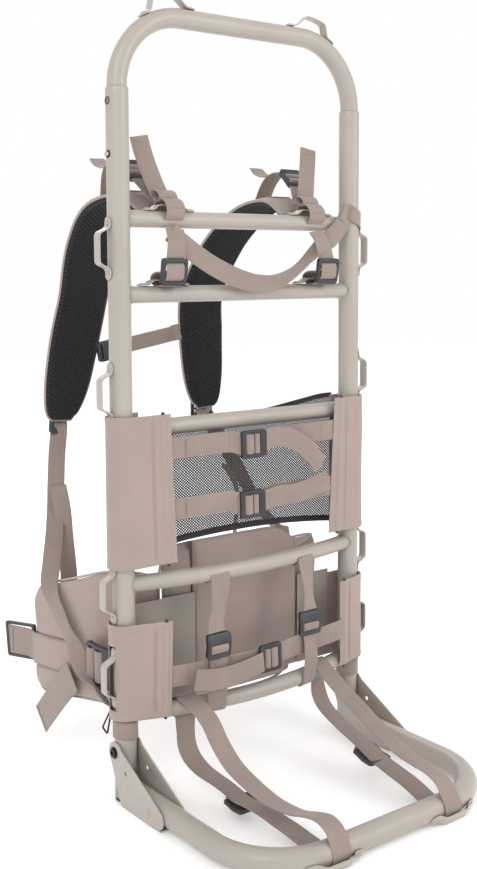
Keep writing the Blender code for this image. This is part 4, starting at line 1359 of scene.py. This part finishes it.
def make_shoulder_pads():
    """Foam strap: dimpled spacer mesh on the body side, cloth outside, a bound edge."""
    fine = 3
    for side, sign in SIDES:
        path = curve_through([(sign * x, y, z, w) for x, y, z, w in PAD_KNOTS], 20 * fine)
        centres = [Vector(p[:3]) for p in path]
        rows = frames(centres, (-1, 0, 0))
        count = 26 * fine
        grid, top, under, cloth_uv = [], [], [], []
        along = 0.0
        for i, (c, across, normal) in enumerate(rows):
            if i:
                along += (c - centres[i - 1]).length
            line, up, down = [], [], []
            tip = min(1.0, min(i, len(rows) - 1 - i) / (3.0 * fine))
            width = path[i][3]
            for j in range(count + 1):
                v = 2 * j / count - 1
                s = math.copysign(1 - (1 - abs(v)) ** 1.25, v)
                line.append(c + across * (s * width / 2))
                edge = max(0.0, 1 - abs(s) ** 5) ** 0.5 * (0.35 + 0.65 * tip)
                place = s * width / 2
                a, b = (along + place) / DIMPLE, (along - place) / DIMPLE
                waves = (0.5 + 0.5 * math.cos(2 * math.pi * a)) * (0.5 + 0.5 * math.cos(2 * math.pi * b))
                dimple = waves ** 0.7
                border = 1.0 if abs(s) < 0.86 and tip >= 1 else 0.0
                soft = 0.0005 * noise.noise(Vector((place * 30, along * 22, sign * 3.0)))
                cloth_uv.append((along, place))
                up.append(0.0004)
                down.append(0.0012 + 0.0058 * edge - 0.0024 * dimple * border + soft * edge)
            grid.append(line)
            top.append(up)
            under.append(down)
        pad = slab(f"shoulder_pad_{side}_mesh", grid, np.array(top), np.array(under), SPACER, "frame",
                   (f"shoulder_pad_{side}",), 80.0, uv=cloth_uv)
        step = 3 * fine
        cover_rows, cover_top = [], []
        picked = sorted({*range(0, len(rows), step), len(rows) - 1})
        for i in picked:
            c, across, normal = rows[i]
            tip = min(1.0, min(i, len(rows) - 1 - i) / (3.0 * fine))
            line, up = [], []
            for j in range(17):
                s = 2 * j / 16 - 1
                line.append(c + normal * 0.0007 + across * (s * (path[i][3] / 2 + 0.0004)))
                up.append(0.0006 + 0.0034 * max(0.0, 1 - abs(s) ** 4) * (0.3 + 0.7 * tip)
                          + 0.0005 * noise.noise(Vector((s * 2, i * 0.09, sign))))
            cover_rows.append(line)
            cover_top.append(up)
        cover = slab(f"shoulder_pad_{side}_cloth", cover_rows, np.array(cover_top), 0.0002, FABRIC, "frame",
                     (), 70.0)
        left = [c - a * (path[i][3] / 2) for i, (c, a, _) in enumerate(rows)]
        right = [c + a * (path[i][3] / 2) for i, (c, a, _) in enumerate(rows)]
        ring = left[::2] + right[::-1][::2]
        tube(f"shoulder_pad_{side}_binding", ring, 0.0019, BINDING, closed=True, sides=10,
             up=(0.2, -0.6, 0.75))
        make_pad_webbing(side, sign, rows, fine)


def make_pad_webbing(side, sign, rows, fine):
    """Webbing sewn down the outside of the pad to the ladder-lock at its foot, and its bartacks."""
    picked = [i for i in range(len(rows)) if i >= len(rows) * 0.10 and i % (6 * fine) == 0]
    run = [(rows[i][0] + rows[i][2] * 0.0056, rows[i][1], WEB_W) for i in picked]
    run.append((Vector((sign * 0.1160, 0.2478, 0.4060)), (1, 0, 0), WEB_W))
    ribbon(f"pad_webbing_{side}", run, steps=3)
    for i in picked[2::5]:
        c, across, normal = rows[i]
        cross_sew(c + normal * 0.0064, across, normal, WEB_W)
    for share in (0.90, 0.925):
        i = int(len(rows) * share)
        c, across, normal = rows[i]
        for k in (-1, 1):
            start = c - normal * 0.0052 + across * (0.006 * k)
            end = c - normal * 0.0052 - across * (0.006 * k) + (rows[i + 3 * fine][0] - c)
            BLACK_SEAMS.stitches([start, end], -normal, pitch=0.002, radius=0.0003)


# ---- Webbing over the shoulders ----
def closed_loop(name, centre, axes, half, width):
    """Webbing wound once round something: an oval of half sizes about a centre, in the plane of two axes."""
    a, b = (Vector(v).normalized() for v in axes)
    across = a.cross(b)
    rows = [(Vector(centre) + a * (half[0] * math.cos(t)) + b * (half[1] * math.sin(t)), across, width)
            for t in (2 * math.pi * k / 18 for k in range(18))]
    return ribbon(name, rows, steps=2, closed=True)


def along_x(sign, points):
    """Ribbon rows from (x, y, z, width), mirrored by sign, whose width runs along X."""
    return [((sign * x, y, z), (1, 0, 0), w) for x, y, z, w in points]


def make_load_lifters():
    for side, sign in SIDES:
        lock = Vector((sign * 0.1210, 0.0490, 0.7180))
        along = Vector((sign * 0.01, 0.70, 0.60)).normalized()
        out = Vector((0, -0.64, 0.77))
        rows = along_x(sign, (
            (0.1262, 0.0275, 0.7545, WEB_W), (0.1235, 0.0250, 0.7400, WEB_W), (0.1190, 0.0215, 0.7220, WEB_W),
            (0.1130, 0.0160, 0.7010, WEB_W), (0.1090, 0.0128, 0.6885, WEB_W), (0.1080, 0.0150, 0.6848, WEB_W),
            (0.1090, 0.0205, 0.6868, WEB_W), (0.1130, 0.0290, 0.6970, 0.0245),
                              (0.1190, 0.0400, 0.7100, 0.0240)))
        ribbon(f"load_lifter_{side}_webbing", rows, nodes=(f"load_lifter_{side}",), steps=5)
        rows = along_x(sign, (
            (0.1225, 0.0600, 0.7265, 0.0240), (0.1230, 0.0760, 0.7275, WEB_W),
                              (0.1225, 0.0900, 0.7240, WEB_W),
            (0.1200, 0.1010, 0.7120, WEB_W), (0.1170, 0.1090, 0.6930, WEB_W)))
        ribbon(f"load_lifter_{side}_upper", rows, steps=6)
        rows = along_x(sign, (
            (0.1210, 0.0930, 0.7235, WEB_W), (0.1210, 0.1050, 0.7245, WEB_W),
            (0.1215, 0.1180, 0.7290, 0.0240), (0.1220, 0.1285, 0.7370, 0.0215)))
        ribbon(f"load_lifter_{side}_end", rows, steps=5)
        cross_sew((sign * 0.1250, 0.0258, 0.7480), (1, 0, 0), (0, -1, 0), WEB_W)
        ladder_lock(f"lifter_{side}", lock, along, out, length=0.030)
        x = sign * BAR1_BRACKET_X
        closed_loop(f"bar_1_webbing_{side}", (x, -0.0015, BAR_Z[0] + 0.0105), ((0, 1, 0), (0, 0.1, 1)),
                    (0.0140, 0.0130), WEB_W)
        closed_loop(f"bar_1_roll_{side}", (x + sign * 0.001, 0.0060, BAR_Z[0] + 0.0270),
                    ((0, 0.8, 0.5), (0, -0.5, 0.8)), (0.0085, 0.0048), WEB_W)
        cross_sew((x, -0.0160, BAR_Z[0] + 0.0125), (1, 0, 0), (0, -1, 0), WEB_W)
        adjuster = along_x(sign, (
            (0.1050, -0.0120, 0.6500, 0.0240), (0.1080, -0.0205, 0.6360, 0.0240),
            (0.1115, -0.0235, 0.6180, 0.0240), (0.1140, -0.0240, 0.6060, 0.0240)))
        ribbon(f"adjuster_{side}", adjuster, steps=5)
        glide = Vector((sign * 0.1140, -0.0235, 0.6010))
        buckle_frame(f"adjuster_triglide_{side}", glide, (0, 0.18, -1), (0, -1, -0.1), (0.0310, 0.0340),
                     [(-0.0105, -0.0014), (0.0014, 0.0105)], thickness=0.0048, rim=0.0046, lip=0.0010,
                     arch=0.001)
        ribbon(f"adjuster_roll_{side}",
               local_rows(glide, (0, 0.18, -1), (0, -1, -0.1),
                          [(-0.0108, -0.0026), (-0.0092, 0.0004), (-0.0052, 0.0026), (0.0052, 0.0030),
                           (0.0092, 0.0004), (0.0108, -0.0026)], 0.0240), steps=5)
        closed_loop(f"bar_2_webbing_{side}", (sign * BAR2_BRACKET_X, -0.0060, BAR_Z[1] + 0.0170),
                    ((0, 1, 0), (0, 0, 1)), (0.0150, 0.0080), 0.0240)


def make_haul():
    route = [(-0.1120, -0.0140, 0.6450), (-0.0980, -0.0175, 0.6330), (-0.0656, -0.0190, 0.6120),
             (-0.0250, -0.0205, 0.5940), (0.0106, -0.0215, 0.5865), (0.0450, -0.0190, 0.5920),
             (0.0800, -0.0150, 0.6090), (0.1080, -0.0140, 0.6290), (0.1300, -0.0150, 0.6440),
             (0.1450, -0.0150, 0.6580), (0.1535, -0.0120, 0.6690)]
    twist = (0, 0, 0, 0, 0.25, 0.62, 0.8, 0.6, 0.15, 0, 0)
    rows = []
    for i, p in enumerate(route):
        before, after = Vector(route[max(0, i - 1)]), Vector(route[min(len(route) - 1, i + 1)])
        run = (after - before).normalized()
        flat = Vector((-run.z, 0, run.x))
        rows.append((p, flat * (1 - twist[i]) + Vector((0.35, 0.93, 0)) * twist[i], WEB_W * 0.92))
    ribbon("haul_webbing", rows, nodes=("haul_strap",), steps=8, flutter=0.0008)
    rows = [((0.1480, -0.0150, 0.6610), (-0.5, 0, 0.86), WEB_W * 0.8)]
    for k, (x, y) in enumerate(arc((HALF_WIDTH, 0), UPRIGHT_R + GAP + WEB_T, 222, 460, 16)):
        rows.append(((x, y, 0.6750 - 0.0018 * k), (0, 0, 1), WEB_W * 0.72))
    ribbon("haul_wrap", rows, steps=3)


def make_sternum():
    route = [(-0.0640, 0.2290, 0.4950), (-0.0400, 0.2300, 0.4990), (0.0, 0.2310, 0.5060),
             (0.0400, 0.2300, 0.5130), (0.0640, 0.2290, 0.5172)]
    rows = [(p, (-0.17, 0.02, 1), 0.0205) for p in route]
    ribbon("sternum_webbing", rows, nodes=("sternum_strap",), thickness=0.0016, steps=6, flutter=0.0008)
    buckle_frame("sternum_buckle", (-0.0560, 0.2262, 0.4968), (1, 0, 0.17), (0, -1, 0), (0.0230, 0.0270),
                 [(-0.0076, -0.0050)], thickness=0.0048, rim=0.0040)
    closed_loop("sternum_loop", (0.0600, 0.2295, 0.5170), ((1, 0, 0.17), (0, 1, 0)), (0.0080, 0.0034), 0.0210)
    for x in (0.0450, 0.0470):
        cross_sew((x, 0.2282, 0.5135 + (x - 0.045) * 0.2), (-0.17, 0, 1), (0, -1, 0), 0.0205)


LOWER_RUN = ((0.1165, 0.2465, 0.4020), (0.1180, 0.2460, 0.3870), (0.1240, 0.2400, 0.3620),
             (0.1330, 0.2270, 0.3300), (0.1420, 0.2120, 0.3010), (0.1550, 0.1930, 0.2680),
             (0.1730, 0.1680, 0.2400), (0.1862, 0.1480, 0.2160), (0.1862, 0.1240, 0.1870),
             (0.1830, 0.1000, 0.1590), (0.1830, 0.0760, 0.1390), (0.1832, 0.0520, 0.1240),
             (0.1835, 0.0330, 0.1150), (0.1830, 0.0170, 0.1070))


def make_lower_webbing():
    for side, sign in SIDES:
        rows = []
        for i, p in enumerate(LOWER_RUN):
            share = min(1.0, max(0.0, (i - 3) / 4))
            across = Vector((sign * (0.96 * (1 - share) + 0.12 * share),
                             -0.28 * sign * (1 - share) + 0.86 * share,
                             0.10 * (1 - share) + 0.52 * share))
            swing = 0.022 * math.sin(math.pi * min(1.0, i / 7)) if sign > 0 else 0.0
            rows.append(((sign * p[0] + swing, p[1], p[2]), across, WEB_W * 0.9))
        ribbon(f"lower_run_{side}", rows, nodes=(f"lower_webbing_{side}",), steps=6, flutter=0.0009)
        slack = [(0.1340, 0.2200, 0.3250), (0.1390, 0.2000, 0.2980), (0.1385, 0.1960, 0.2680),
                 (0.1355, 0.1960, 0.2360), (0.1325, 0.1975, 0.2050), (0.1345, 0.1985, 0.1830),
                 (0.1380, 0.1960, 0.1740)]
        rows = [((sign * x, y, z), (sign * 0.75, 0.62, 0.05), WEB_W * 0.88) for x, y, z in slack]
        ribbon(f"lower_slack_{side}", rows, steps=6, flutter=0.0008)
        cross_sew((sign * 0.1340, 0.1968, 0.1860), (sign * 0.75, 0.62, 0.05), (-sign * 0.62, 0.75, 0),
                  WEB_W * 0.88)
        lock = Vector((sign * 0.1158, 0.2500, 0.4050))
        ladder_lock(f"pad_{side}", lock, (0.02 * sign, 0.05, -1), (-0.35 * sign, -0.9, -0.04), width=0.031,
                    length=0.030)
        closed_loop(f"pad_tail_loop_{side}", lock + Vector((0, 0.0010, -0.0105)),
                    ((0, 0.3, 1), (0.2 * sign, -1, 0.3)), (0.0065, 0.0030), 0.0205)
        ring = [(sign * 0.1850, 0.0060, 0.1090), (sign * 0.1830, 0.0310, 0.0770),
                (sign * 0.1850, 0.0170, 0.0740)]
        loop_points = filleted([(Vector(ring[0]) + Vector(ring[1])) / 2, ring[1], ring[2], ring[0],
                                (Vector(ring[0]) + Vector(ring[1])) / 2 + Vector((0, 1e-5, 0))], 0.0030, 5)
        tube(f"webbing_ring_{side}", loop_points[:-1], 0.0011, DARK_STEEL, closed=True, sides=10,
             up=(1, 0, 0))
        radius = UPRIGHT_R + GAP + WEB_T * 0.6
        turn = arc((0, 0), radius, 62, -255, 36)
        rows = [((sign * (HALF_WIDTH + u), v, ANCHOR_LOOP_Z + 0.0016 * (1 + math.sin(k * 0.17))), (0, 0, 1),
                 ANCHOR_LOOP_W) for k, (u, v) in enumerate(turn)]
        anchor = ribbon(f"anchor_webbing_{side}", rows, body=None, nodes=(f"anchor_loop_{side}",), steps=1)
        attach(anchor, "frame")
        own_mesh(anchor)




# ---- Load straps ----
BAR_WRAP = BAR_R + GAP + WEB_T / 2 + 0.0004      # webbing's middle round a crossbar


def make_upright_straps():
    """Webbing and its capped lock between crossbars 4 and 5, one on each side."""
    wrap = BAR_WRAP
    front = Vector((0, -1, 0))
    for side, sign in SIDES:
        x = sign * 0.071
        upper, lower = (bar_y(3, x), BAR_Z[3]), (bar_y(4, x), BAR_Z[4])
        slope3, slope4 = bar_slope(3, x), bar_slope(4, x)
        lock = Vector((x - sign * 0.0015, -0.0435, 0.1700))
        top_x = x + 0.0125 if sign < 0 else x + 0.002
        rows = [((top_x, y, z), slope3, WEB_W) for y, z in arc(upper, wrap, 330, 180, 10)]
        rows += [((top_x, upper[0] - wrap - 0.0012, 0.2380), slope3, WEB_W),
                 ((top_x * 0.5 + x * 0.5, -0.0365, 0.2120), slope3 + Vector((0, 0.25, 0)), 0.0215),
                 ((x, -0.0395, 0.1960), slope3 + Vector((0, 0.15, 0)), 0.0215),
                 ((x, -0.0415, 0.1860), slope3, 0.0235)]
        ribbon(f"upright_strap_{side}_upper", rows, nodes=(f"upright_strap_{side}",), steps=3, flutter=0.0005)
        rows = [((x - sign * 0.0015, -0.0425, 0.1560), slope4, 0.0235),
                ((x - sign * 0.001, -0.0435, 0.1420), slope4, 0.0228),
                ((x, -0.0435, 0.1250), slope4, WEB_W), ((x, lower[0] - wrap - 0.0006, 0.1090), slope4, WEB_W)]
        rows += [((x, y, z), slope4, WEB_W) for y, z in arc(lower, wrap, 180, 370, 12)]
        ribbon(f"upright_strap_{side}_lower", rows, steps=3, flutter=0.0005)
        ladder_lock(f"upright_{side}", lock, (0, 0.04, -1), (0, -1, -0.04), length=0.029, capped=True)
        cross_sew((x, lower[0] - wrap - 0.0014, 0.1150), slope4, front, WEB_W)
        cross_sew((top_x, upper[0] - wrap - 0.0020, 0.2330), slope3, front, WEB_W)


# side, x at crossbar 5, x at the shelf's front, (y, z) over and under the shelf, the lock's y, z and slope
SHELF_RUNS = (
    ("left", -0.1035, -0.080,
     ((-0.047, 0.1050), (-0.066, 0.0920), (-0.084, 0.0715), (-0.106, 0.0535), (-0.138, 0.0410),
      (-0.170, 0.0340), (-0.200, 0.0355), (-0.222, 0.0415), (-0.240, 0.0430), (-0.2545, 0.0365)),
     ((-0.236, 0.0055), (-0.205, 0.0125), (-0.165, 0.0190), (-0.140, 0.0200), (-0.118, 0.0200),
      (-0.100, 0.0245), (-0.075, 0.0290), (-0.052, 0.0330), (-0.034, 0.0420), (-0.0245, 0.0560),
      (-0.0225, 0.0720)),
     -0.120, 0.0156, 0.10),
    ("right", 0.098, 0.083,
     ((-0.050, 0.1000), (-0.075, 0.0880), (-0.112, 0.0740), (-0.150, 0.0600), (-0.185, 0.0500),
      (-0.212, 0.0465), (-0.233, 0.0455), (-0.252, 0.0385)),
     ((-0.236, 0.0070), (-0.205, 0.0170), (-0.165, 0.0232), (-0.140, 0.0274), (-0.112, 0.0354),
      (-0.082, 0.0425), (-0.056, 0.0490), (-0.037, 0.0580), (-0.0265, 0.0720)),
     -0.130, 0.0252, 0.27))


def make_shelf_straps():
    """A loop on each side from crossbar 5 over the shelf's front bar and back under, with a lock below it."""
    reach = SHELF_R + GAP + WEB_T / 2 + 0.0002
    for side, back_x, front_x, over, under, lock_y, lock_z, slope in SHELF_RUNS:
        bar = (bar_y(4, back_x), BAR_Z[4])
        run, loose = bar[0] + SHELF_DEPTH, BAR_WRAP + 0.0007
        tilt = bar_slope(4, back_x)
        rows = [((back_x, y, z), tilt, WEB_W) for y, z in arc(bar, loose, -10, 110, 8)]
        for k, (y, z) in enumerate([*over, *arc((-SHELF_DEPTH, SHELF_Z), reach, 138, 268, 12), *under]):
            share = min(1.0, (bar[0] - y) / run)
            lean = Vector((1, 0.05 * math.sin(k * 0.9), 0.10 * math.sin(k * 0.6 + 1)))
            on_bar = abs(Vector((y + SHELF_DEPTH, z - SHELF_Z)).length - reach) < 1e-5
            rows.append(((back_x + (front_x - back_x) * share, y, z), (1, 0, 0) if on_bar else lean, WEB_W))
        rows += [((back_x, y, z), tilt, WEB_W) for y, z in arc(bar, loose, 272, 350, 8)]
        strap = ribbon(f"shelf_strap_{side}_webbing", rows, body=None, nodes=(f"shelf_strap_{side}",),
                       steps=3, flutter=0.0010)
        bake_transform(strap)
        share = (bar[0] - lock_y) / run
        ladder_lock(f"shelf_{side}", (back_x + (front_x - back_x) * share, lock_y, lock_z), (0, 1, slope),
                    (0, slope, -1), body="shelf", capped=True)


# ---- Camera, light, floor ----
def make_camera():
    yaw, pitch, roll = math.radians(37.01), math.radians(-5.11), -0.005
    forward = Vector((math.sin(yaw) * math.cos(pitch), math.cos(yaw) * math.cos(pitch), math.sin(pitch)))
    right = Vector((math.cos(yaw), -math.sin(yaw), 0))
    up = right.cross(forward)
    right, up = right * math.cos(roll) + up * math.sin(roll), up * math.cos(roll) - right * math.sin(roll)
    data = bpy.data.cameras.new("camera")
    data.sensor_width, data.lens = 36.0, 47.11
    data.shift_x, data.shift_y = 0.0059, -0.0733
    data.clip_start, data.clip_end = 0.01, 50
    camera = bpy.data.objects.new("camera", data)
    turn = Matrix((right, up, -forward)).transposed().to_4x4()
    camera.matrix_world = Matrix.Translation((-0.8272, -1.0783, 0.6039)) @ turn
    bpy.context.scene.collection.objects.link(camera)
    bpy.context.scene.camera = camera


def area_light(name, place, target, size, power):
    data = bpy.data.lights.new(name, "AREA")
    data.shape, data.size, data.size_y = "RECTANGLE", *size
    data.energy = power
    lamp = bpy.data.objects.new(name, data)
    lamp.location = place
    lamp.rotation_mode = "QUATERNION"
    lamp.rotation_quaternion = (Vector(target) - Vector(place)).to_track_quat("-Z", "Y")
    bpy.context.scene.collection.objects.link(lamp)


def make_studio():
    world = bpy.data.worlds.new("studio")
    bpy.context.scene.world = world
    world.use_nodes = True
    world.node_tree.nodes["Background"].inputs["Color"].default_value = (1, 1, 1, 1)
    world.node_tree.nodes["Background"].inputs["Strength"].default_value = 1.0
    mesh = bpy.data.meshes.new("floor")
    mesh.from_pydata([(-6, -6, 0), (6, -6, 0), (6, 6, 0), (-6, 6, 0)], [], [(0, 1, 2, 3)])
    floor = bpy.data.objects.new("floor", mesh)
    bpy.context.scene.collection.objects.link(floor)
    look = Look("pale_floor", (0.93, 0.93, 0.93), 0.9, Specular_IOR_Level=0.1)
    look.set("Base Color", look.tint(look.noise(3.0, 2.0), 0.995, 1.0))
    look.shader.inputs["Emission Color"].default_value = (1, 1, 1, 1)
    look.shader.inputs["Emission Strength"].default_value = 0.16
    mesh.materials.append(look.mat)
    area_light("key", (-2.3, -1.6, 2.3), (0, 0, 0.45), (1.3, 1.6), 28)
    area_light("fill", (1.6, -2.6, 1.6), (0, 0, 0.45), (1.2, 1.8), 22)
    area_light("back", (0.6, 2.4, 2.2), (0, 0, 0.5), (1.8, 1.2), 20)
    bpy.context.scene.view_settings.view_transform = "Standard"


make_camera()
make_studio()
make_uprights()
make_crossbars()
make_hoop()
make_shelf()
make_hinges()
make_brackets()
make_bands()
make_band_straps()
make_lumbar_pad()
make_belt()
make_shoulder_pads()
make_load_lifters()
make_haul()
make_sternum()
make_lower_webbing()
make_upright_straps()
make_shelf_straps()
SEAMS["frame"].make("stitching", THREAD)
BLACK_SEAMS.make("bartacks", THREAD_DARK)
for name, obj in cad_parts.items():
    if not obj.hide_render:
        slot = obj.data.materials[0].name.split(".")[0]
        look = SLOT_LOOKS.get(slot)
        if look:
            obj.data.materials[0] = look.mat
